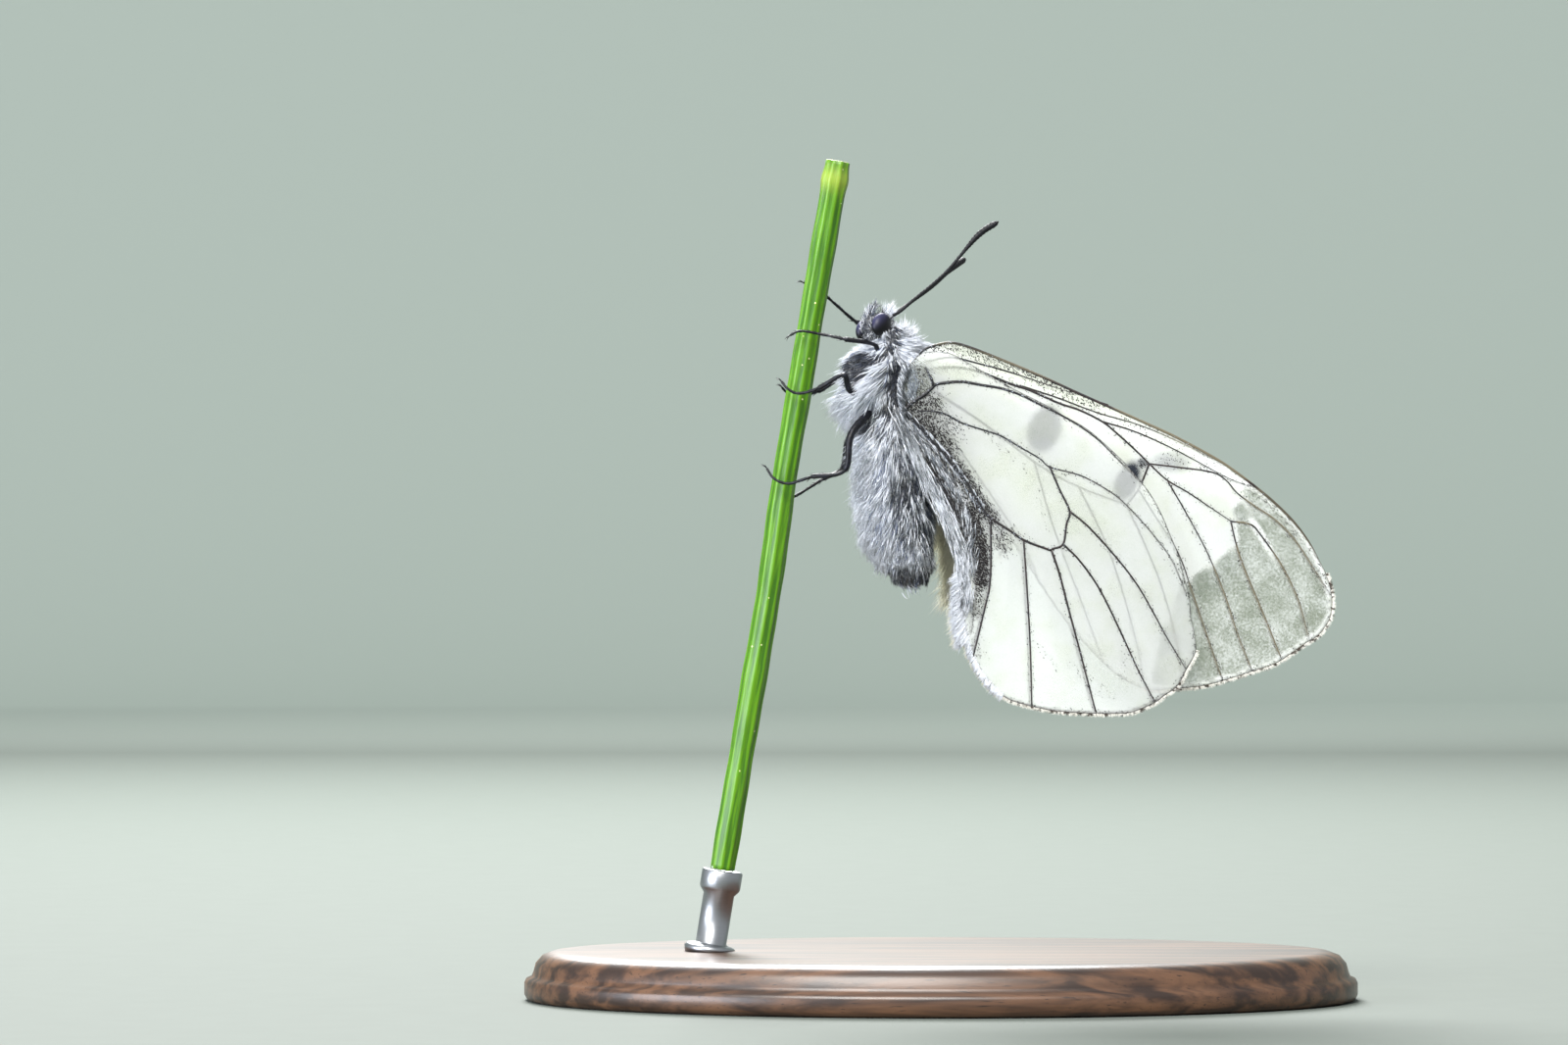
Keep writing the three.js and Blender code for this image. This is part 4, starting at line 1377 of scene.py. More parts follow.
    def fringe(self) -> Piece:
        """Hair-scales along the outer margin, white with dark groups.

        Returns:
            The new piece.
        """
        rim = self.plan.rim()
        start, stop = (self.nearest(rim, i) for i in self.plan.margin)
        run = resample(rim[start : stop + 1], self.fringe_step)
        way = unit(np.gradient(run, axis=0))
        out = np.stack([-way[:, 1], way[:, 0]], axis=1)
        middle = rim.mean(axis=0)
        out *= np.sign(((run - middle) * out).sum(axis=1))[:, None]
        draw = np.random.default_rng(7)
        along, aside = self.fringe_stray
        roots, ways = [], []
        for offset in self.fringe_rows:
            roots.append(self.place(run + self.fringe_out * out, offset))
            lean = out + along * draw.normal(size=out.shape)
            ways.append(np.stack([lean[:, 0], aside * draw.normal(size=len(run)), lean[:, 1]], axis=1))
        carrier = make_piece("carrier", np.vstack(roots), [], {"way": unit(np.vstack(ways))})
        name = f"{self.name}_fringe_scales"
        scales = Bristles(name, self.fringe_length, self.fringe_width, flat=0.4, lift=0.0, vary=0.3)
        piece = scales.grow(f"{self.name}_fringe", carrier, FringeScales("Fringe scales, white and sooty"))
        drop(carrier)
        return piece

    def build(self) -> None:
        """Makes and dresses the wing."""
        finish = f"{self.plan.kind.capitalize()} membrane, scaled chitin"
        complete(self.membrane(), ScaledMembrane(finish, covered=self.plan.covered), "wing", self.name)
        complete(self.veins(), Vein("Wing vein, brown chitin"), "wing", self.name)
        settle(self.fringe(), "wing", self.name)


# ---------------------------------------------------------------- body, coat and limbs


@dataclass(frozen=True)
class Station:
    """A level of the trunk: its height, where its middle is, and half its depth and width."""

    z: float
    x: float
    depth: float
    width: float


@dataclass(frozen=True)
class Lie:
    """How the coat grows at one spot of the trunk.

    turn is the spot's angle in degrees from the belly (0) over the flank (90) to the back (180). The hairs
    lean by tail and belly shares, stand at lift degrees off the skin, and tone is the share of white ones.
    """

    z: float
    turn: float
    tail: float
    belly: float
    lift: float
    length: float
    tone: float


@dataclass(frozen=True)
class HeadLie:
    """How the coat grows at one spot of the head, by directions given as (side, front, under)."""

    spot: tuple[float, float, float]
    way: tuple[float, float, float]
    lift: float
    length: float
    tone: float


@dataclass(frozen=True)
class Plume:
    """Longer hairs on each side of the head or at the tail: their root, way, number, length and tone."""

    place: tuple[float, float, float]
    way: tuple[float, float, float]
    count: int
    length: float
    tone: float
    scatter: float = 0.13
    fan: float = 0.22


@dataclass
class Tufts:
    """Hairs to be made as one mesh: where each is rooted and how it grows."""

    roots: Array
    normals: Array
    ways: Array
    lengths: Array
    widths: Array
    lifts: Array
    tones: Array
    bake: Array
    profile: tuple[float, ...] = (0.75, 1.0, 0.72)
    sink: float = 0.12
    settle_share: float = 0.35
    clump: float = 0.6
    clump_size: int = 20
    seed: int = 5

    def mesh(self, name: str) -> Piece:
        """Closed, three-sided, tapered hairs that curve down onto the coat and gather in locks.

        Args:
            name: the new piece's name.

        Returns:
            The new piece.
        """
        draw = np.random.default_rng(self.seed)
        count, rings = len(self.roots), len(self.profile)
        first = self.bearing(self.lifts)
        stay = self.settle_share + (1 - self.settle_share) * 0.6 * smoothstep(self.lifts, 25, 55)
        last = self.bearing(self.lifts * stay)
        sway = 0.16 * draw.normal(size=(count, 3))
        t = np.linspace(0, 1, rings + 1)[None, :, None]
        sink = np.minimum(self.sink, 0.02 + 0.05 * self.lengths)[:, None]
        start = (self.roots - self.normals * sink)[:, None]
        reach = (self.lengths + sink[:, 0])[:, None, None]
        line = start + reach * (first[:, None] * t + 0.5 * (last - first + sway)[:, None] * t**2)
        line += self.gather(line[:, -1], draw)[:, None] * t**2
        way = unit(np.gradient(line, axis=1))
        across = unit(np.cross(way, self.normals[:, None]))
        over = np.cross(across, way)
        turns = np.array([0.5, 7 / 6, 11 / 6]) * np.pi
        size = 0.5 * self.widths[:, None, None, None] * np.array(self.profile)[None, :, None, None]
        circle = (
            np.cos(turns)[None, None, :, None] * across[:, :rings, None]
            + 0.7 * np.sin(turns)[None, None, :, None] * over[:, :rings, None]
        )
        shaft = (line[:, :rings, None] + size * circle).reshape(count, -1, 3)
        points = np.concatenate([shaft, line[:, -1:]], axis=1)
        each = 3 * rings + 1
        pattern = [[0, 2, 1], *grid_faces(rings, 3)]
        pattern += [[each - 4 + i, each - 4 + (i + 1) % 3, each - 1] for i in range(3)]
        faces = [[start + i for i in face] for start in range(0, count * each, each) for face in pattern]
        level = np.append(np.repeat(np.arange(rings) / rings, 3), 1.0)
        corner = np.append(np.tile([0.0, 0.5, 1.0], rings), 0.5)
        spot = np.stack([corner, level], axis=1)[np.concatenate(pattern)]
        bake = (self.bake[:, None] + BAKE_PATCH * spot[None]).reshape(-1, 2)
        values = {"tone": np.repeat(self.tones, each), "along": np.tile(level, count)}
        return make_piece(name, points.reshape(-1, 3), faces, values, bake)

    def bearing(self, lifts: Array) -> Array:
        """The direction of each hair at this many degrees off the skin.

        Args:
            lifts: degrees for each hair.

        Returns:
            A direction for each hair.
        """
        slope = np.radians(lifts)[:, None]
        flat = unit(self.ways - self.normals * (self.ways * self.normals).sum(axis=1, keepdims=True))
        return unit(flat * np.cos(slope) + self.normals * np.sin(slope))

    def gather(self, tips: Array, draw: np.random.Generator) -> Array:
        """How far each hair's tip leans to its lock's tip.

        Args:
            tips: where the hairs end.
            draw: the source of random numbers.

        Returns:
            A move for each tip.
        """
        count = len(tips)
        chosen = draw.choice(count, max(1, count // self.clump_size), replace=False)
        tree = KDTree(len(chosen))
        for number, i in enumerate(chosen):
            tree.insert(self.roots[i], number)
        tree.balance()
        mate = chosen[[tree.find(root)[1] for root in self.roots]]
        share = self.clump * draw.uniform(0.5, 1.2, size=count)
        pull = (tips[mate] - tips) * share[:, None]
        far = np.linalg.norm(pull, axis=1, keepdims=True)
        return pull * np.minimum(1, 0.5 * self.lengths[:, None] / np.maximum(far, 1e-6))


@dataclass
class Head:
    """The head's frame and the places of what it carries, given as (side, under, front) from its middle."""

    centre: Array = field(default_factory=lambda: np.array([-4.03, -0.15, 41.12]))
    side: Array = field(default_factory=lambda: unit(np.array([0.58, -0.79, 0.2])))
    facing: Array = field(default_factory=lambda: np.array([-0.25, 0.05, 0.97]))
    radii: tuple[float, float, float] = (0.72, 0.85, 0.8)
    eye_place: tuple[float, float, float] = (0.82, 0.12, 0.05)
    eye_radii: tuple[float, float, float] = (0.42, 0.78, 0.63)
    eye_turn: float = 50.0
    lobes: tuple = (
        (-3.6, 0.0, 40.5, 0.68), (-3.42, -0.05, 41.4, 0.5), (-2.9, -0.5, 40.75, 0.42),
        (-2.9, 0.5, 40.75, 0.42),
    )
    lies: tuple[HeadLie, ...] = (
        HeadLie((0.0, 1.0, 0.1), (0.0, 1.0, 0.2), 38, 0.3, 0.15),
        HeadLie((0.6, 0.8, 0.0), (0.2, 0.9, -0.2), 22, 0.24, 0.2),
        HeadLie((-0.6, 0.8, 0.0), (-0.2, 0.9, -0.2), 22, 0.24, 0.2),
        HeadLie((0.0, 0.4, 0.9), (0.0, 0.6, 0.7), 40, 0.32, 0.2),
        HeadLie((0.0, -0.6, 0.8), (0.0, -0.7, 0.6), 30, 0.45, 0.35),
        HeadLie((0.75, -0.65, 0.0), (0.1, -0.9, 0.2), 25, 0.38, 0.2),
        HeadLie((-0.75, -0.65, 0.0), (-0.1, -0.9, 0.2), 25, 0.38, 0.45),
        HeadLie((0.0, -0.4, -0.9), (0.0, -0.3, -1.0), 32, 0.45, 0.5),
        HeadLie((0.0, 0.4, -0.9), (0.0, 0.9, -0.6), 35, 0.34, 0.45),
        HeadLie((0.8, 0.45, -0.45), (0.2, 0.6, -0.6), 25, 0.28, 0.2),
        HeadLie((-0.8, 0.45, -0.45), (-0.2, 0.6, -0.6), 25, 0.28, 0.2),
        HeadLie((0.75, -0.2, -0.65), (0.2, -0.3, -0.8), 22, 0.32, 0.3),
        HeadLie((-0.75, -0.2, -0.65), (-0.2, -0.3, -0.8), 22, 0.32, 0.3),
    )

    @property
    def axes(self) -> Array:
        """The side, front and under directions as rows."""
        front = unit(self.facing - self.side * (self.side @ self.facing))
        return np.stack([self.side, front, np.cross(self.side, front)])

    def point(self, side: float, under: float, front: float) -> Array:
        """A place given from the head's middle."""
        return self.centre + np.array([side, front, under]) @ self.axes

    def eye_centre(self, side: Side) -> Array:
        """The middle of one eye. The left eye lies on the frame's own side direction."""
        out, under, front = self.eye_place
        return self.point(-side.value * out, under, front)

    @property
    def eye_axes(self) -> Array:
        """The eyes' own axes as rows: outwards, along their length and across it.

        Returns:
            Three rows.
        """
        out, front, under = self.axes
        cos, sin = math.cos(math.radians(self.eye_turn)), math.sin(math.radians(self.eye_turn))
        return np.stack([out, cos * front - sin * under, sin * front + cos * under])

    def in_eye(self, points: Array, grow: float) -> Array:
        """True for points within an eye grown by this much.

        Args:
            points: places to test.
            grow: how much is added to the eye, in millimetres.

        Returns:
            Whether each point is inside.
        """
        hit = np.zeros(len(points), bool)
        for side in Side:
            away = (points - self.eye_centre(side)) @ self.eye_axes.T
            hit |= lengths(away / (np.array(self.eye_radii) + grow)) < 1
        return hit

    def eye(self, side: Side) -> None:
        """One bulging compound eye.

        Args:
            side: which eye to make.
        """
        points, faces = ball(self.eye_centre(side), self.eye_axes, np.array(self.eye_radii), 40, 72)
        piece = make_piece(f"eye_{side.word}_lens", points, faces)
        complete(piece, EyeFacets("Compound eye, glossy violet-black"), "eye", f"eye_{side.word}")


@dataclass
class Body:
    """Head, thorax and abdomen under one skin, with the coat that covers them.

    regions gives each piece of the coat, the height down to which it goes and the CAD node that it covers.
    """

    head: Head
    stations: tuple[Station, ...] = (
        Station(40.7, -3.0, 0.5, 0.55), Station(40.1, -3.2, 1.15, 1.1), Station(39.2, -3.5, 1.55, 1.5),
        Station(38.0, -3.65, 1.75, 1.65), Station(36.9, -3.6, 1.65, 1.55), Station(35.6, -3.35, 1.35, 1.35),
        Station(34.2, -3.1, 1.55, 1.5), Station(32.0, -2.85, 1.75, 1.65), Station(29.8, -2.65, 1.8, 1.65),
        Station(28.0, -2.4, 1.62, 1.5), Station(26.8, -2.05, 1.35, 1.2), Station(25.9, -1.85, 1.0, 0.8),
    )
    lies: tuple[Lie, ...] = (
        Lie(40.7, 180, -0.3, 0.0, 52, 1.2, 1.0), Lie(40.6, 145, -0.2, -0.6, 48, 1.2, 1.0),
        Lie(39.7, 180, 0.5, 0.0, 58, 2.3, 1.0), Lie(39.9, 148, 0.45, -0.4, 54, 2.4, 1.0),
        Lie(40.1, 130, 0.2, -0.8, 40, 1.3, 1.0), Lie(39.2, 145, 0.6, -0.3, 48, 2.4, 1.0),
        Lie(38.2, 180, 0.8, 0.0, 45, 2.0, 0.95), Lie(38.5, 122, 0.8, 0.1, 18, 0.5, 0.12),
        Lie(40.6, 98, 0.5, -0.3, 22, 0.4, 0.2), Lie(40.0, 98, 0.7, -0.2, 22, 0.5, 0.28),
        Lie(39.4, 108, 0.8, 0.0, 24, 0.7, 0.5), Lie(39.3, 80, 0.8, 0.3, 28, 0.7, 0.1),
        Lie(40.0, 40, 0.15, 1.0, 40, 0.85, 0.95), Lie(40.0, 0, 0.6, 0.0, 42, 1.4, 0.97),
        Lie(39.2, 58, 0.5, 0.7, 42, 0.85, 0.06), Lie(38.4, 62, 0.6, 0.7, 42, 0.85, 0.08),
        Lie(39.2, 36, 0.5, 0.7, 42, 0.85, 0.06), Lie(38.4, 38, 0.6, 0.7, 42, 0.85, 0.08),
        Lie(39.2, 5, 0.8, 0.2, 42, 1.5, 0.97), Lie(40.0, 68, 0.7, 0.5, 28, 0.7, 0.6),
        Lie(38.7, 0, 0.9, 0.0, 42, 1.5, 0.98), Lie(38.9, 102, 0.6, 0.8, 34, 1.7, 0.88),
        Lie(38.1, 92, 0.6, 0.8, 30, 1.9, 0.88), Lie(37.5, 64, 0.6, 0.8, 34, 2.0, 0.88),
        Lie(37.8, 120, 0.9, 0.2, 18, 0.5, 0.15), Lie(36.8, 85, 0.9, 0.4, 20, 1.0, 0.45),
        Lie(36.6, 118, 1.0, 0.1, 16, 0.7, 0.3), Lie(37.2, 34, 0.65, 0.75, 40, 2.2, 0.88),
        Lie(37.0, 0, 0.9, 0.0, 44, 2.3, 0.88), Lie(36.2, 45, 0.8, 0.6, 36, 2.0, 0.98),
        Lie(35.6, 0, 1.0, 0.0, 38, 1.8, 1.0), Lie(35.9, 84, 1.0, 0.4, 20, 1.4, 0.45),
        Lie(35.3, 50, 1.0, 0.6, 30, 1.9, 0.95), Lie(36.5, 180, 1.0, 0.0, 30, 1.4, 0.6),
        Lie(34.6, 98, 1.0, 0.15, 18, 1.8, 0.4), Lie(34.4, 66, 1.0, 0.45, 24, 2.1, 0.85),
        Lie(34.2, 28, 1.0, 0.5, 32, 1.8, 0.86), Lie(34.0, 0, 1.0, 0.0, 32, 1.7, 0.88),
        Lie(34.4, 140, 1.0, 0.0, 20, 1.3, 0.35), Lie(32.0, 106, 1.0, 0.1, 16, 1.8, 0.36),
        Lie(32.2, 76, 1.0, 0.3, 20, 2.0, 0.62), Lie(32.0, 44, 1.0, 0.5, 28, 2.0, 0.84),
        Lie(31.6, 0, 1.0, 0.0, 34, 1.8, 0.88), Lie(32.0, 145, 1.0, 0.0, 26, 1.4, 0.3),
        Lie(29.6, 108, 1.0, 0.1, 18, 1.6, 0.4), Lie(29.7, 70, 1.0, 0.35, 22, 1.8, 0.8),
        Lie(29.4, 34, 1.0, 0.4, 30, 1.7, 0.88), Lie(29.2, 0, 1.0, 0.0, 34, 1.6, 0.88),
        Lie(29.6, 148, 1.0, 0.0, 28, 1.4, 0.3), Lie(27.9, 95, 1.0, 0.05, 22, 1.4, 0.6),
        Lie(27.8, 35, 1.0, 0.3, 30, 1.4, 0.95), Lie(27.7, 180, 1.0, 0.0, 26, 1.1, 0.4),
        Lie(26.9, 90, 1.0, 0.0, 24, 1.0, 0.15), Lie(26.7, 20, 1.0, 0.0, 28, 0.9, 0.15),
        Lie(26.1, 90, 1.0, 0.0, 24, 0.9, 0.05), Lie(26.3, 180, 1.0, 0.0, 22, 0.9, 0.15),
        Lie(25.3, 90, 1.0, 0.0, 30, 1.3, 0.6), Lie(25.3, 0, 1.0, 0.0, 30, 1.2, 0.6),
    )
    spots: tuple = (
        (-2.6, -0.85, 41.1, 0.24), (-2.65, -1.33, 38.85, 0.65), (-2.8, -1.45, 38.0, 0.55),
        (-3.3, -1.55, 36.5, 0.5), (-4.5, -1.1, 35.65, 0.8), (-4.8, -0.85, 38.85, 1.15),
    )
    brushes: tuple[Plume, ...] = (
        Plume((-3.3, -0.25, 41.7), (0.15, 0.0, 1.0), 80, 1.15, 0.92),
        Plume((-3.6, -0.3, 41.9), (0.05, -0.1, 1.0), 22, 0.95, 0.0),
        Plume((-3.5, -1.0, 40.8), (-0.5, -0.35, -0.8), 45, 0.45, 1.0),
        Plume((-1.9, -0.15, 25.85), (0.1, -0.1, -1.0), 45, 0.95, 0.85, 0.4, 0.35),
    )
    regions: tuple[tuple[str, float | None, str], ...] = (
        ("head", None, "head"), ("thorax_front", 38.7, "thorax"), ("thorax_middle", 37.0, "thorax"),
        ("thorax_rear", 35.3, "thorax"), ("abdomen_front", 33.2, "abdomen"),
        ("abdomen_middle", 31.2, "abdomen"), ("abdomen_rear", 28.9, "abdomen"),
        ("abdomen_tip", 0.0, "abdomen"),
    )
    voxel: float = 0.11
    density: float = 310.0
    head_density: float = 520.0
    hair_width: float = 0.07
    most: int = 12000
    reach: tuple[float, float] = (25.0, 42.2)
    lie_reach: tuple[float, float] = (1.1, 32.0)
    head_blend: tuple[float, float] = (1.5, 1.15)
    head_reach: float = 1.3
    head_hair: float = 0.62
    stray: float = 0.22
    streaked: float = 0.35

    def course(self) -> Array:
        """The trunk's levels sampled finely: z, x, depth and width in each row."""
        rows = [(s.z, s.x, s.depth, s.width) for s in self.stations]
        return spline(rows, 12)

    def level(self, z: Array) -> tuple[Array, Array, Array]:
        """The trunk's middle, half depth and half width at a height."""
        rows = self.course()[::-1]
        return tuple(np.interp(z, rows[:, 0], rows[:, k]) for k in (1, 2, 3))

    def skin(self) -> Piece:
        """One closed skin over trunk, neck and head.

        Returns:
            The new piece.
        """
        rows = self.course()
        turn = round_turn(72)
        x, y = rows[:, 1, None] + rows[:, 2, None] * np.cos(turn), rows[:, 3, None] * np.sin(turn)
        rings = np.stack([x, y, np.repeat(rows[:, :1], len(turn), axis=1)], axis=-1)
        trunk = capped(rings, (rows[0, 1], 0, rows[0, 0] + 0.15), (rows[-1, 1], 0, rows[-1, 0] - 0.2))
        head = ball(self.head.centre, self.head.axes, np.array(self.head.radii), 24, 36)
        lobes = [ball(np.array(spot), np.eye(3), np.full(3, size), 16, 24) for *spot, size in self.head.lobes]
        rough = make_piece("rough_body", *joined([trunk, head, *lobes]), scale=1.0)
        remesh = rough.modifiers.new("union", "REMESH")
        remesh.mode = "VOXEL"
        remesh.voxel_size = self.voxel
        smooth = rough.modifiers.new("smooth", "SMOOTH")
        smooth.factor, smooth.iterations = 0.5, 6
        mesh = baked(rough)
        drop(rough)
        places = vertex_values(mesh, "co")
        faces = [list(p.vertices) for p in mesh.polygons]
        tone = self.growth(places, unit(vertex_values(mesh, "normal")))[3]
        bake = self.unwrap(places)[np.concatenate(faces)]
        return make_piece("body_skin", places, faces, {"tone": tone}, bake)

    def turn_of(self, points: Array) -> Array:
        """Each point's angle from the belly round to the back, in degrees."""
        middle, depth, width = self.level(points[:, 2])
        return np.degrees(np.arctan2(np.abs(points[:, 1]) / width, -(points[:, 0] - middle) / depth))

    def unwrap(self, points: Array) -> Array:
        """The skin's own unwrap: round the body in u and along it in v.

        Args:
            points: places on the skin.

        Returns:
            A place in the map for each point.
        """
        middle, _, _ = self.level(points[:, 2])
        turn = np.arctan2(points[:, 1], -(points[:, 0] - middle))
        low, high = self.reach
        along = (points[:, 2] - low) / (high - low)
        return np.stack([0.5 + 0.48 * turn / np.pi, 0.02 + 0.95 * along], axis=1)

    def growth(self, points: Array, normals: Array) -> tuple[Array, Array, Array, Array]:
        """How the coat grows at these points of the skin.

        Args:
            points: places on the skin.
            normals: the skin's directions outwards there.

        Returns:
            The hairs' directions, lifts in degrees, lengths and tones.
        """
        turn = self.turn_of(points)
        table = np.array([(g.z, g.turn, g.tail, g.belly, g.lift, g.length, g.tone) for g in self.lies])
        here = np.stack([points[:, 2], turn], axis=1)
        away = (((here[:, None] - table[None, :, :2]) / self.lie_reach) ** 2).sum(axis=2)
        share = 1 / (away + 0.05) ** 3
        share /= share.sum(axis=1, keepdims=True)
        tail, belly, lift, length, tone = (share @ table[:, 2:]).T
        down = unit(-UP - normals * (normals @ -UP)[:, None])
        middle, _, _ = self.level(points[:, 2])
        x, y = points[:, 0] - middle, points[:, 1]
        ventral = unit(np.stack([-np.abs(y), np.sign(y) * x, np.zeros(len(points))], axis=1) + 1e-6)
        way = down * tail[:, None] + ventral * belly[:, None]
        axes = self.head.axes
        spot = unit((points - self.head.centre) @ axes.T / np.array(self.head.radii))
        heads = np.array([(*g.spot, *g.way, g.lift, g.length, g.tone) for g in self.head.lies])
        near = ((spot[:, None] - unit(heads[None, :, :3])) ** 2).sum(axis=2)
        share = 1 / (near + 0.05) ** 2
        share /= share.sum(axis=1, keepdims=True)
        made = share @ heads[:, 3:]
        on_head = smoothstep(lengths(points - self.head.centre), *self.head_blend)
        on_head *= smoothstep(points[:, 2] - 0.5 * (points[:, 0] + 4.1), 40.1, 40.5)
        way = way * (1 - on_head)[:, None] + (made[:, :3] @ axes) * on_head[:, None]
        pairs = zip((lift, length, tone), made[:, 3:].T)
        lift, length, tone = (trunk * (1 - on_head) + head * on_head for trunk, head in pairs)
        mirrored = points * (1, 0, 1) - np.abs(points) * (0, 1, 0)
        for *spot, reach in self.spots:
            tone = tone * smoothstep(lengths(mirrored - spot), 0.5 * reach, reach)
        return unit(way), lift, length, np.clip(tone, 0, 1)

    def roots(self, skin: Piece, draw: np.random.Generator) -> tuple[Array, Array]:
        """Places drawn over the skin by area, closer together on the head, and their normals.

        Args:
            skin: the piece that they grow on.
            draw: the source of random numbers.

        Returns:
            The places and the normals.
        """
        skin.data.calc_loop_triangles()
        count = len(skin.data.loop_triangles)
        corners = np.zeros(count * 3, np.int32)
        skin.data.loop_triangles.foreach_get("vertices", corners)
        corners = corners.reshape(-1, 3)
        places, normals = vertex_values(skin.data, "co") / MM, vertex_values(skin.data, "normal")
        a, b, c = (places[corners[:, k]] for k in range(3))
        area = 0.5 * lengths(np.cross(b - a, c - a))
        close = smoothstep(lengths((a + b + c) / 3 - self.head.centre), 1.5, 1.0)
        wanted = area * (self.density + (self.head_density - self.density) * close)
        picks = draw.choice(count, int(wanted.sum()), p=wanted / wanted.sum())
        u, v = draw.random((2, len(picks), 1))
        u, v = np.where(u + v > 1, 1 - u, u), np.where(u + v > 1, 1 - v, v)
        weights = list(zip((1 - u - v, u, v), corners[picks].T))
        root = sum(share * places[corner] for share, corner in weights)
        normal = sum(share * normals[corner] for share, corner in weights)
        return root, unit(normal)

    def streaks(self, points: Array, draw: np.random.Generator) -> Array:
        """A smooth pattern from zero to one, long along the body, that keeps hairs of one tone together.

        Args:
            points: the hairs' roots.
            draw: the source of random numbers.

        Returns:
            A value for each point.
        """
        waves = draw.normal(size=(40, 3)) * np.array([7.0, 7.0, 1.3])
        phase = draw.uniform(0, 2 * np.pi, 40)
        total = np.cos(points @ waves.T + phase).sum(axis=1) / math.sqrt(20)
        return 1 / (1 + np.exp(-1.7 * total))

    def plumes(self, draw: np.random.Generator) -> Array:
        """The longer tufts, a row for each hair: root, normal, way, lift, length and tone.

        Args:
            draw: the source of random numbers.

        Returns:
            The rows.
        """
        rows = []
        for tuft in self.brushes:
            for side in Side:
                flip = np.array([1.0, -side.value, 1.0])
                root = np.array(tuft.place) * flip + tuft.scatter * draw.normal(size=(tuft.count, 3))
                normal = unit(np.array(tuft.way) * flip + tuft.fan * draw.normal(size=(tuft.count, 3)))
                rest = np.tile([0.4, 0.0, -0.9, 80.0, tuft.length, tuft.tone], (tuft.count, 1))
                rows.append(np.hstack([root, normal, rest]))
        return np.vstack(rows)

    def coat(self, skin: Piece) -> None:
        """Hairs all over the skin, split by region.

        Args:
            skin: the piece that the hairs grow on.
        """
        draw = np.random.default_rng(11)
        root, normal = self.roots(skin, draw)
        way, lift, length, tone = self.growth(root, normal)
        clear = ~self.head.in_eye(root, 0.0)
        for side in Side:
            away = root - self.head.eye_centre(side)
            close = smoothstep(lengths(away) / max(self.head.eye_radii), 1.75, 1.1)
            facing = np.clip(-(way * unit(away)).sum(axis=1), 0, 1) * close
            way = unit(way + 2.2 * facing[:, None] * unit(away))
            length = length * (1 - 0.55 * close * (length > 0.6))
        rows = np.column_stack([root, normal, way, lift, length, tone])[clear]
        rows = np.vstack([rows, self.plumes(draw)])
        root, normal, way = rows[:, :3], rows[:, 3:6], rows[:, 6:9]
        lift, length, tone = rows[:, 9:].T
        on_head = lengths(root - self.head.centre) < self.head_reach
        lot = (1 - self.streaked) * draw.random(len(root)) + self.streaked * self.streaks(root, draw)
        white = lot < tone
        dark = draw.uniform(0.0, 0.2, len(root)) + 0.35 * smoothstep(tone, 0.3, 0.8)
        hair_tone = np.where(white, draw.uniform(0.8, 1.0, len(root)), dark)
        length = length * draw.uniform(0.5, 1.35, len(root)) * np.where(white, 1.0, 0.85)
        lift = lift * draw.uniform(0.6, 1.35, len(root))
        way = unit(way + self.stray * draw.normal(size=way.shape))
        width = self.hair_width * np.where(on_head, self.head_hair, 1.0) * draw.uniform(0.7, 1.2, len(root))
        bake = self.unwrap(root)
        left = ~on_head
        for number, (word, low, node) in enumerate(self.regions):
            chosen = left & (root[:, 2] > low) if low is not None else on_head
            left &= ~chosen
            pick = np.flatnonzero(chosen)[: self.most]
            tufts = Tufts(
                root[pick], normal[pick], way[pick], length[pick], width[pick], lift[pick],
                hair_tone[pick], bake[pick], seed=20 + number,
            )
            piece = tufts.mesh(f"coat_{word}")
            Hair("Body hair, white and sooty").dress(piece)
            settle(piece, f"{node}_coat", node)

    def build(self) -> None:
        """Makes and dresses skin, coat and eyes."""
        skin = self.skin()
        Hide("Body cuticle, dull").dress(skin)
        settle(skin, "thorax_coat", "head", "thorax", "abdomen")
        self.coat(skin)
        for side in Side:
            self.head.eye(side)


@dataclass(frozen=True)
class Strip:
    """Hairs scattered beside a line on a wing: how far they follow it and lean off it, and their measures."""

    course: tuple
    scatter: float
    along: float
    lean: tuple[float, float]
    count: int
    length: tuple[float, float]
    tone: float
    lift: tuple[float, float]
    raised: float = 0.03
    tones: tuple[float, float, float, float] = (0.05, 0.4, 0.78, 1.0)


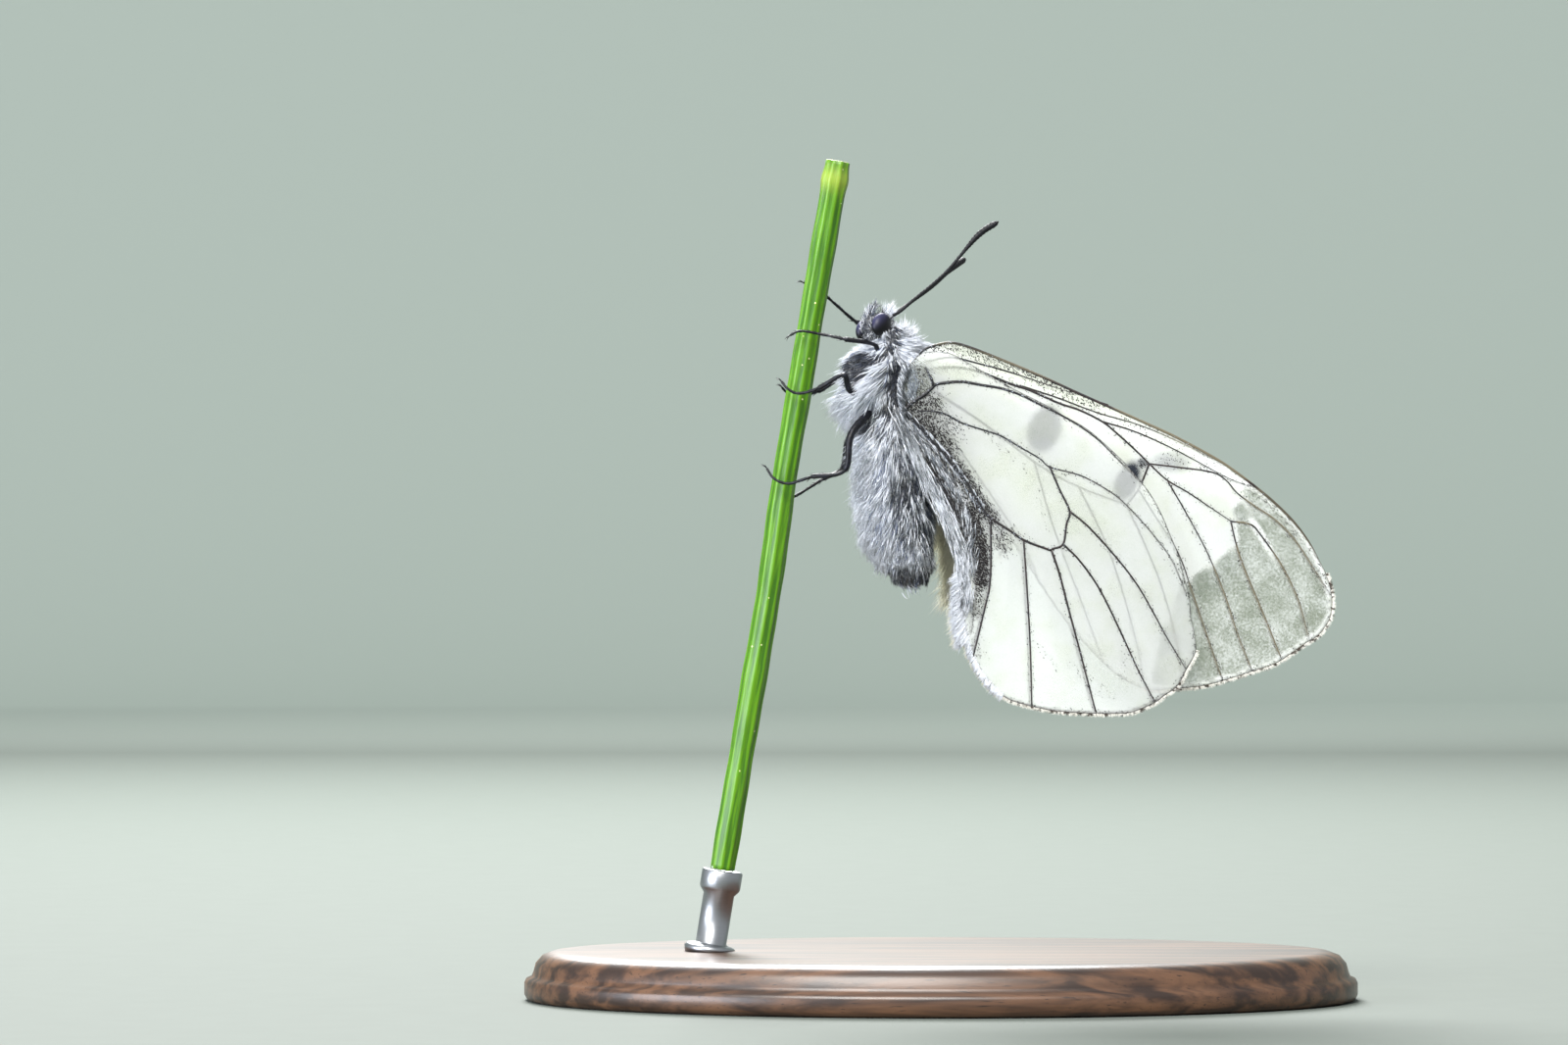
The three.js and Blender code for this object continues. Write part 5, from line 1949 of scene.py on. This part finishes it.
@dataclass
class WingHair:
    """The long soft hairs of a hindwing's base and inner margin."""

    wing: Wing
    strips: tuple[Strip, ...] = (
        Strip(((-1.9, 35.1), (-1.0, 33.9), (0.0, 32.5), (1.0, 30.9), (1.6, 29.4), (1.8, 28.0), (1.9, 26.8)),
              0.34, 1.0, (-0.15, 0.0), 800, (0.5, 1.0), 0.3, (2, 8)),
        Strip(((-2.8, 36.1), (-2.4, 35.3), (-1.9, 34.2), (-1.2, 32.5), (-0.3, 30.9), (0.5, 29.2),
               (1.1, 27.6), (1.4, 26.0), (1.5, 24.8)),
              0.3, 1.0, (-0.08, 0.0), 2000, (0.9, 1.8), 0.75, (3, 16)),
        Strip(((1.42, 26.4), (1.36, 25.0), (1.38, 23.4), (1.6, 22.2)), 0.12, 0.75,
              (-0.95, -0.1), 1300, (0.6, 1.4), 0.97, (0, 25)),
        Strip(((1.6, 22.2), (2.1, 20.8), (2.9, 19.6), (3.7, 18.8)), 0.07, 0.6, (-0.8, -0.3), 800,
              (0.25, 0.6), 0.95, (0, 25)),
        Strip(((-2.1, 36.0), (-1.1, 35.05), (0.12, 33.72), (1.32, 32.2), (2.55, 30.3)), 0.05, 1.0,
              (0.0, 0.0), 60, (0.25, 0.5), 0.7, (0, 4), 0.06, (0.2, 0.5, 0.6, 0.85)),
        Strip(((-2.4, 35.8), (-1.35, 34.8), (-0.15, 33.5), (1.05, 32.0), (2.25, 30.1)), 0.05, 1.0,
              (0.0, 0.0), 60, (0.25, 0.5), 0.7, (0, 4), 0.06, (0.2, 0.5, 0.6, 0.85)),
        Strip(((-1.9, 38.7), (-1.8, 37.8), (-2.0, 36.9)), 0.35, 0.7, (0.25, -0.2), 330, (0.2, 0.4), 0.5,
              (4, 14), 0.03, (0.3, 0.5, 0.6, 0.8)),
        Strip(((-2.25, 38.9), (-2.6, 37.8), (-2.6, 37.0), (-2.5, 36.0)), 0.1, 0.5,
              (0.6, -0.3), 800, (0.3, 0.6), 0.45, (10, 30), 0.1, (0.1, 0.35, 0.65, 0.95)),
    )
    veil: Strip = Strip(
        ((-0.4, 31.2), (0.5, 29.8), (1.1, 28.4), (1.35, 27.0), (1.35, 25.6)), 0.12, 0.9, (-0.75, -0.2), 1500,
        (1.6, 3.2), 1.0, (0, 20),
    )
    hair_width: float = 0.052
    map_corners: tuple = ((-3.5, 17.0), (6.0, 40.5))
    darker_from: tuple[float, float] = (34.4, 35.8)

    def build(self) -> None:
        """Makes and dresses the hairs."""
        draw = np.random.default_rng(61)
        rows = []
        for strip in self.strips + ((self.veil,) if self.wing.side is Side.RIGHT else ()):
            line = resample(spline(strip.course, 8), 0.1)
            pick = draw.integers(0, len(line), strip.count)
            flat = line[pick] + strip.scatter * draw.normal(size=(strip.count, 2)) * 0.6
            way = strip.along * unit(np.gradient(line, axis=0))[pick] + np.array(strip.lean)
            way = unit(way + 0.12 * draw.normal(size=way.shape))
            root = self.wing.place(flat, strip.raised)
            share = strip.tone * (1 - 0.6 * smoothstep(flat[:, 1], *self.darker_from))
            white = draw.random(strip.count) < share
            low, mid, high, top = strip.tones
            tone = np.where(white, draw.uniform(high, top, strip.count), draw.uniform(low, mid, strip.count))
            measures = [draw.uniform(*strip.length, strip.count), draw.uniform(*strip.lift, strip.count)]
            way = [way[:, 0], np.zeros(strip.count), way[:, 1]]
            rows.append(np.column_stack([root, *way, *measures, tone, flat]))
        table = np.vstack(rows)
        low, high = np.array(self.map_corners)
        bake = 0.02 + 0.95 * (table[:, 9:11] - low) / (high - low)
        normal = np.tile([0.0, self.wing.side.value, 0.0], (len(table), 1))
        length, lift, tone = table[:, 6:9].T
        width = np.full(len(table), self.hair_width)
        tufts = Tufts(
            table[:, :3], normal, table[:, 3:6], length, width, lift, tone, bake, sink=0.02, clump=0.3,
            seed=62,
        )
        piece = tufts.mesh(f"{self.wing.name}_hair")
        finish = Hair("Wing hair, white and grey", grey="#7e8c9c")
        # painted light: the far wing's margin hair gets a copy of the hair finish whose grey is lightened to
        # near white, standing in for light where the near wing and body shade it; the cream tint is the
        # hair's own
        if self.wing.side is Side.RIGHT:
            finish = Hair("Inner margin hair, cream", white="#fffef4", grey="#d8d6c4", through=0.75)
        finish.dress(piece)
        settle(piece, "wing", self.wing.name)


@dataclass
class Palp:
    """A labial palp: a short bent feeler thick with bristles."""

    head: Head
    side: Side
    line: tuple = ((0.12, 0.4, 0.2), (0.18, 0.4, 0.6), (0.24, 0.12, 1.0), (0.27, -0.25, 1.3))
    radius: float = 0.11
    hairs: int = 250
    hair_width: float = 0.03
    length: tuple[float, float] = (0.3, 0.7)
    pale: float = 0.3

    def build(self) -> None:
        """Makes and dresses the palp and its bristles."""
        places = [self.head.point(-self.side.value * out, under, front) for out, under, front in self.line]
        course = resample(spline(places, 10), 0.06)
        share = np.linspace(0, 1, len(course))
        radii = self.radius * (1 - 0.55 * share**2)
        radii[-3:] *= (0.85, 0.6, 0.25)
        points, faces = tube(course, radii, 14, self.head.axes[0])
        piece = make_piece(f"palp_{self.side.word}_shaft", points, faces)
        complete(piece, Chitin("Limb cuticle, blue-black"), "palp", f"palp_{self.side.word}")
        draw = np.random.default_rng(31 + self.side.value)
        way, across, over = frames_along(course, self.head.axes[0])
        pick = draw.integers(0, len(course), self.hairs)
        turn = draw.uniform(0, 2 * np.pi, self.hairs)[:, None]
        normal = across[pick] * np.cos(turn) + over[pick] * np.sin(turn)
        root = course[pick] + normal * radii[pick][:, None]
        lean = unit(way[pick] + 0.2 * draw.normal(size=normal.shape))
        white = draw.random(self.hairs) < self.pale
        tone = np.where(white, 0.9, draw.uniform(0, 0.3, self.hairs))
        u = np.stack([0.02 + 0.9 * share[pick], 0.05 + 0.9 * turn[:, 0] / (2 * np.pi)], axis=1)
        tufts = Tufts(
            root, normal, lean, draw.uniform(*self.length, self.hairs), np.full(self.hairs, self.hair_width),
            draw.uniform(12, 50, self.hairs), tone, u, sink=0.04, settle_share=0.6, clump=0.15, seed=41,
        )
        bristles = tufts.mesh(f"palp_{self.side.word}_bristles")
        Hair("Body hair, white and sooty").dress(bristles)
        settle(bristles, "palp", f"palp_{self.side.word}")


@dataclass
class Antenna:
    """A feeler: short ringed segments on a thin shaft that thickens to a club."""

    head: Head
    side: Side
    line: tuple
    root: tuple[float, float, float] = (0.28, -0.55, 0.5)
    shaft: float = 0.105
    club: float = 0.2
    ring: float = 0.24
    groove: float = 0.13
    club_from: tuple[float, float] = (0.66, 0.88)
    tip: float = 0.035
    step: float = 0.04
    sides: int = 16

    def build(self) -> None:
        """Makes and dresses the antenna."""
        out, under, front = self.root
        start = self.head.point(-self.side.value * out, under, front)
        course = resample(spline([start, *self.line], 12), self.step)
        run = np.arange(len(course)) * self.step
        share = run / run[-1]
        radii = self.shaft + (self.club - self.shaft) * smoothstep(share, *self.club_from)
        radii *= 1 + 0.5 * smoothstep(run, 0.5, 0.1)
        radii *= 1 - self.groove * np.abs(np.cos(np.pi * run / self.ring)) ** 6
        radii *= np.sqrt(np.clip((1.0 - share) / self.tip, 0.02, 1))
        up = np.array([0.0, 1.0, 0.3])
        points, faces = tube(course, radii, self.sides, up)
        way = frames_along(course, up)[0]
        lean = np.vstack([np.repeat(way, self.sides, axis=0), way[:1], way[-1:]])
        piece = make_piece(f"antenna_{self.side.word}_shaft", points, faces, {"way": lean})
        face_outwards(piece)
        Chitin("Feeler cuticle, black", dust="#3c3a44", dusty=0.25, rough=0.5).dress(piece)
        name = f"antenna_{self.side.word}_down"
        down = Bristles(name, 0.045, 0.012, density=120, lift=0.7, seed=3, sides=3)
        short = down.grow(name, piece, Chitin("Feeler cuticle, black"))
        settle(piece, "antenna", f"antenna_{self.side.word}")
        settle(short, "antenna", f"antenna_{self.side.word}")


@dataclass
class Leg:
    """A leg: thigh, shin with spurs, five-jointed foot with two claws, and short bristles."""

    name: str
    side: Side
    thigh: tuple
    foot: tuple
    thigh_radius: float = 0.2
    shin_radius: float = 0.135
    foot_radius: float = 0.09
    joints: int = 5
    spur: float = 0.5
    spur_radius: float = 0.04
    claw: float = 0.32
    claw_radius: float = 0.045
    step: float = 0.06
    sides: int = 14

    def course(self) -> tuple[Array, Array]:
        """The leg's middle line in even steps, and how far along its nodes each step is.

        Returns:
            The steps and their places among the nodes.
        """
        nodes = np.array([(x, self.side.value * y, z) for x, z, y in (*self.thigh, *self.foot)])
        fine = spline(nodes, 20)
        count = np.linspace(0, len(nodes) - 1, len(fine))
        run = run_along(fine)
        places = np.arange(0, run[-1], self.step)
        return points_at(fine, run, places), np.interp(places, run, count)

    def radii(self, count: Array) -> Array:
        """The leg's radius at each step.

        Args:
            count: each step's place among the nodes.

        Returns:
            A radius for each step.
        """
        knee = len(self.thigh) - 1
        ankle = knee + 1
        toes = len(self.thigh) + len(self.foot) - 1
        thigh = self.thigh_radius * (1 - 0.25 * smoothstep(count, 0.35 * knee, knee))
        shin = self.shin_radius * (0.85 + 0.3 * smoothstep(count, knee, ankle))
        along = np.clip((count - ankle) / (toes - ankle), 0, 1)
        beads = 1 - 0.2 * np.abs(np.cos(np.pi * self.joints * along)) ** 8
        foot = self.foot_radius * (1.1 - 0.3 * along) * beads
        made = np.where(count < knee, thigh, np.where(count < ankle, shin, foot))
        made = np.convolve(np.pad(made, 1, mode="edge"), np.ones(3) / 3, mode="valid")
        made[-2:] *= (0.8, 0.45)
        return made

    def build(self) -> None:
        """Makes and dresses the leg."""
        up = np.array([0.15, 0.4, 1.0])
        line, count = self.course()
        radii = self.radii(count)
        points, faces = tube(line, radii, self.sides, up)
        way, across, over = frames_along(line, up)
        lean = [np.repeat(way, self.sides, axis=0), way[:1], way[-1:]]
        parts = [(points, faces)]
        ankle = int(np.argmin(np.abs(count - len(self.thigh))))
        for hand in (-1, 1):
            aside = math.cos(0.5) * hand * across[ankle] - 0.6 * over[ankle]
            aim = unit(way[ankle] + 0.55 * aside)
            spike = line[ankle] + aim * np.linspace(0, self.spur, 6)[:, None]
            parts.append(tube(spike, self.spur_radius * np.linspace(1, 0.1, 6), 6, up))
            lean.append(np.repeat(aim[None], len(parts[-1][0]), axis=0))
        curve = np.linspace(0, 1, 8)[:, None]
        for hand in (-1, 1):
            bent = way[-1] * curve + 0.35 * hand * across[-1] * curve - 0.55 * over[-1] * curve**2.2
            radii = self.claw_radius * np.linspace(1, 0.12, 8)
            parts.append(tube(line[-1] + self.claw * bent, radii, 6, up + 0.3))
            lean.append(np.repeat(way[-1][None], len(parts[-1][0]), axis=0))
        name = f"leg_{self.name}_{self.side.word}"
        piece = make_piece(f"{name}_limb", *joined(parts), {"way": np.vstack(lean)})
        face_outwards(piece)
        Chitin("Limb cuticle, blue-black").dress(piece)
        bristles = Bristles(f"{name}_bristles", 0.13, 0.02, density=55, lift=0.55, seed=4, sides=3)
        short = bristles.grow(f"{name}_bristles", piece, Chitin("Leg bristles, black", dusty=0.5, rough=0.5))
        settle(piece, "leg", name)
        settle(short, "leg", name)


LEGS = (
    Leg("fore", Side.LEFT, ((-4.4, 38.8, 0.9), (-4.0, 40.0, 1.3)),
        ((-5.9, 40.4, 1.7), (-7.3, 40.7, 1.4), (-8.6, 40.9, 1.35), (-9.3, 40.6, 1.1))),
    Leg("fore", Side.RIGHT, ((-4.6, 38.5, 1.5), (-4.1, 41.1, 2.5)),
        ((-5.2, 41.6, 2.2), (-6.4, 42.6, 1.6), (-7.6, 43.6, 1.35), (-8.5, 44.0, 1.1))),
    Leg("mid", Side.LEFT, ((-4.7, 36.8, 1.3), (-5.6, 37.3, 1.8), (-6.0, 38.2, 2.3)),
        ((-7.5, 37.4, 1.8), (-8.7, 37.1, 1.4), (-9.4, 37.4, 1.3), (-9.8, 37.9, 1.05))),
    Leg("mid", Side.RIGHT, ((-4.7, 36.9, 1.5), (-6.0, 38.0, 2.3)),
        ((-7.5, 37.3, 1.8), (-8.7, 37.0, 1.4), (-9.4, 37.2, 1.3), (-9.8, 37.6, 1.05))),
    Leg("hind", Side.LEFT, ((-4.0, 36.3, 0.8), (-5.5, 34.6, 2.4), (-5.9, 32.4, 2.6)),
        ((-7.9, 32.0, 2.0), (-9.3, 31.6, 1.45), (-10.2, 31.9, 1.3), (-10.7, 32.6, 1.0)), 0.235),
    Leg("hind", Side.RIGHT, ((-4.2, 36.1, 1.4), (-5.6, 34.4, 2.5), (-6.0, 32.6, 2.6)),
        ((-7.2, 31.9, 2.1), (-8.8, 30.9, 1.5), (-9.6, 30.6, 1.35), (-10.2, 30.4, 1.05))),
)

ANTENNAE = {
    Side.LEFT: ((-2.7, -0.4, 42.0), (-1.7, -0.7, 42.8), (0.3, -0.95, 44.5), (2.2, -1.05, 46.7),
                (3.5, -1.0, 47.6)),
    Side.RIGHT: ((-2.9, 0.7, 42.0), (-1.8, 1.4, 42.75), (-0.4, 2.7, 43.8), (0.75, 4.3, 44.9),
                 (1.65, 5.7, 45.6)),
}


# ---------------------------------------------------------------- stand and studio


@dataclass
class Stem:
    """The cut stem: a ribbed stalk with a leaf joint under its cut end."""

    line: tuple = (
        (-13.35, 8.0), (-11.7, 18.0), (-10.5, 25.2), (-9.6, 31.8), (-8.7, 37.2), (-7.7, 43.2), (-6.3, 51.3),
    )
    radius: float = 0.78
    ribs: int = 9
    rib_height: float = 0.05
    sides: int = 108
    step: float = 0.25
    joint: float = 50.2
    ends: tuple = ((0.35, 0.05), (0.7, -0.01), (0.93, 0.03))

    def build(self) -> None:
        """Makes and dresses the stem."""
        line = resample(spline(self.line, 12), self.step)
        line = np.stack([line[:, 0], np.zeros(len(line)), line[:, 1]], axis=1)
        turn = round_turn(self.sides)
        phases = np.random.default_rng(3).uniform(0, 2 * np.pi, 3)
        height = line[:, 2]
        twist = 0.012 * (height - height[0])
        wave = (0.5 + 0.5 * np.cos(self.ribs * (turn[None] + twist[:, None]))) ** 1.5
        uneven = 0.02 * np.sin(0.7 * height + phases[0]) + 0.012 * np.sin(1.9 * height + phases[1])
        joint = 0.10 * np.exp(-(((height - self.joint) / 0.55) ** 2))
        radii = self.radius - self.rib_height + self.rib_height * wave + (uneven + joint)[:, None]
        _, across, over = frames_along(line, np.array([0.0, 1.0, 0.0]))
        rings = line[:, None] + radii[..., None] * (
            np.cos(turn)[None, :, None] * across[:, None] + np.sin(turn)[None, :, None] * over[:, None]
        )
        low, high = (
            [line[row] + share * (rings[row] - line[row]) + depth * out for share, depth in self.ends]
            for row, out in ((0, unit(line[0] - line[1])), (-1, unit(line[-1] - line[-2])))
        )
        points, faces = capped(np.array([*low, *rings, *high[::-1]]), line[0], line[-1])
        bare, both = np.zeros((3, self.sides)), np.ones(2)
        pale = np.repeat(np.exp(-(((height - self.joint) / 0.7) ** 2))[:, None], self.sides, axis=1)
        values = {
            "relief": np.append(np.vstack([bare + 0.5, wave, bare + 0.5]), 0.5 * both),
            "pale": np.append(np.vstack([bare + 1, pale, bare + 1]), both),
            "cut": np.append(np.vstack([bare + 1, np.zeros_like(wave), bare + 1]), both),
        }
        piece = make_piece("stem", points, faces, values)
        complete(piece, PlantStem("Plant stem, waxy green"), "stem", "perch_stem")


@dataclass
class Stand:
    """The display stand: an oval wooden plate and a steel rod whose cup takes the stem's cut end."""

    length: float = 51.0
    width: float = 31.0
    height: float = 3.0
    foot: float = -14.15
    top: tuple[float, float] = (-13.35, 7.75)
    rod_radius: float = 0.95
    cup_radius: float = 1.25
    cup_height: float = 1.4
    sides: int = 160

    def plate(self) -> Piece:
        """The oval plate with a moulded edge.

        Returns:
            The new piece.
        """
        profile = (
            (0.6, 0.0), (0.15, 0.12), (0.0, 0.4), (0.0, 1.1), (0.12, 1.35), (0.45, 1.5), (0.55, 1.75),
            (0.7, 2.3), (1.1, 2.75), (1.7, 2.97), (2.4, 3.0),
        )
        turn = round_turn(self.sides)
        rings = []
        for inset, z in profile:
            a, b = self.length / 2 - inset, self.width / 2 - inset
            rings.append(np.stack([a * np.cos(turn), b * np.sin(turn), np.full(self.sides, z)], axis=1))
        rings += [rings[-1] * np.array([share, share, 1.0]) for share in (0.8, 0.5, 0.2)]
        return make_piece("stand_plate", *capped(np.array(rings), (0, 0, 0), (0, 0, self.height)))

    def rod(self) -> Piece:
        """The rod with a collar at its foot and a cup at its top.

        Returns:
            The new piece.
        """
        foot = np.array([self.foot, 0.0, self.height])
        top = np.array([self.top[0], 0.0, self.top[1] + 0.2])
        reach = float(np.linalg.norm(top - foot))
        way = (top - foot) / reach
        cup, wide = reach - self.cup_height, self.cup_radius
        profile = (
            (0.0, 1.55), (0.18, 1.6), (0.35, 1.45), (0.45, 1.1), (0.5, self.rod_radius),
            (cup - 0.1, self.rod_radius), (cup + 0.2, wide - 0.06), (cup + 0.35, wide), (reach - 0.1, wide),
            (reach, wide - 0.08), (reach, wide - 0.25), (reach - 0.12, 0.9),
        )
        run = np.array([foot + way * along for along, _ in profile])
        turn = round_turn(64)[:, None]
        circle = np.cos(turn) * np.array([way[2], 0.0, -way[0]]) + np.sin(turn) * np.array([0.0, 1.0, 0.0])
        rings = [centre + radius * circle for centre, (_, radius) in zip(run, profile)]
        rings[0][:, 2] = self.height
        return make_piece("stand_post", *capped(np.array(rings), run[0], run[-1]))

    def build(self) -> None:
        """Makes and dresses the stand."""
        complete(self.plate(), TurnedWood("Stained walnut, oiled"), "base", "stand_base")
        complete(self.rod(), BrushedSteel("Stainless steel, brushed"), "rod", "stand_rod")


@dataclass
class Studio:
    """Pale paper sweep, soft lamps and the camera."""

    eye: tuple[float, float, float] = (-9.6, -400.0, 29.22)
    aim: tuple[float, float, float] = (2.0, 0.0, 30.0)
    sensor: float = 36.0
    view_width: float = 96.0
    grading: tuple[float, float] = (430.0, 640.0)

    def sweep(self) -> None:
        """A floor that curves up behind the model."""
        start, bend = 650.0, 450.0
        run = [(-1200.0, 0.0), (self.grading[0], 0.0), (start, 0.0)]
        for angle in np.linspace(0.05, math.pi / 2, 30):
            run.append((start + bend * math.sin(angle), bend - bend * math.cos(angle)))
        run += [(start + bend, 1800.0)]
        points = [(x, y, z) for y, z in run for x in (-1800.0, 1800.0)]
        faces = [[2 * i, 2 * i + 1, 2 * i + 3, 2 * i + 2] for i in range(len(run) - 1)]
        far = np.interp(np.array(points)[:, 1], self.grading, (0.0, 1.0))
        floor = make_piece("paper_sweep", np.array(points), faces, {"far": far})
        PaperSweep("Studio paper, matt").dress(floor)

    def lamp(self, name: str, place: tuple, size: float, power: float, tint: str) -> None:
        """A soft round lamp at place, turned to the model, both in millimetres.

        Args:
            name: what it is called.
            place: where it hangs.
            size: how wide it is.
            power: its power in watts.
            tint: its colour.
        """
        light = bpy.data.lights.new(name, "AREA")
        light.shape = "DISK"
        light.size = size * MM
        light.energy = power
        light.color = linear(tint)[:3]
        lamp = bpy.data.objects.new(name, light)
        bpy.context.scene.collection.objects.link(lamp)
        lamp.location = np.array(place) * MM
        lamp.rotation_euler = (Vector(self.aim) - Vector(place)).to_track_quat("-Z", "Y").to_euler()

    def build(self) -> None:
        """Sets up the floor, the lamps, the sky and the camera."""
        self.sweep()
        self.lamp("key", (-140.0, -520.0, 640.0), 420.0, 10.0, "#fffdf9")
        self.lamp("fill", (-640.0, -480.0, 140.0), 520.0, 8.6, "#eff4ff")
        self.lamp("rim", (-60.0, 320.0, 330.0), 240.0, 5.0, "#ffffff")
        world = bpy.data.worlds.new("Soft sky")
        bpy.context.scene.world = world
        world.use_nodes = True
        background = world.node_tree.nodes["Background"]
        background.inputs["Color"].default_value = linear("#e8edf0")
        background.inputs["Strength"].default_value = 0.7
        lens = bpy.data.cameras.new("camera")
        lens.sensor_width = self.sensor
        lens.lens = self.sensor * -self.eye[1] / self.view_width
        lens.clip_start, lens.clip_end = 0.02, 20.0
        camera = bpy.data.objects.new("camera", lens)
        camera.location = np.array(self.eye) * MM
        camera.rotation_euler = (math.pi / 2, 0.0, 0.0)
        bpy.context.scene.collection.objects.link(camera)
        bpy.context.scene.camera = camera
        bpy.context.scene.view_settings.view_transform = "Standard"


def main() -> None:
    """Builds the butterfly, its stem and its stand."""
    logging.basicConfig(level=logging.INFO, format="%(message)s")
    Studio().build()
    Stand().build()
    Stem().build()
    for plan in (FOREWING, HINDWING):
        for side in Side:
            wing = Wing(plan, side)
            wing.build()
            if plan is HINDWING:
                WingHair(wing).build()
    head = Head()
    Body(head).build()
    for side in Side:
        Palp(head, side).build()
        Antenna(head, side, ANTENNAE[side]).build()
    for leg in LEGS:
        leg.build()


if __name__ == "__main__":
    main()
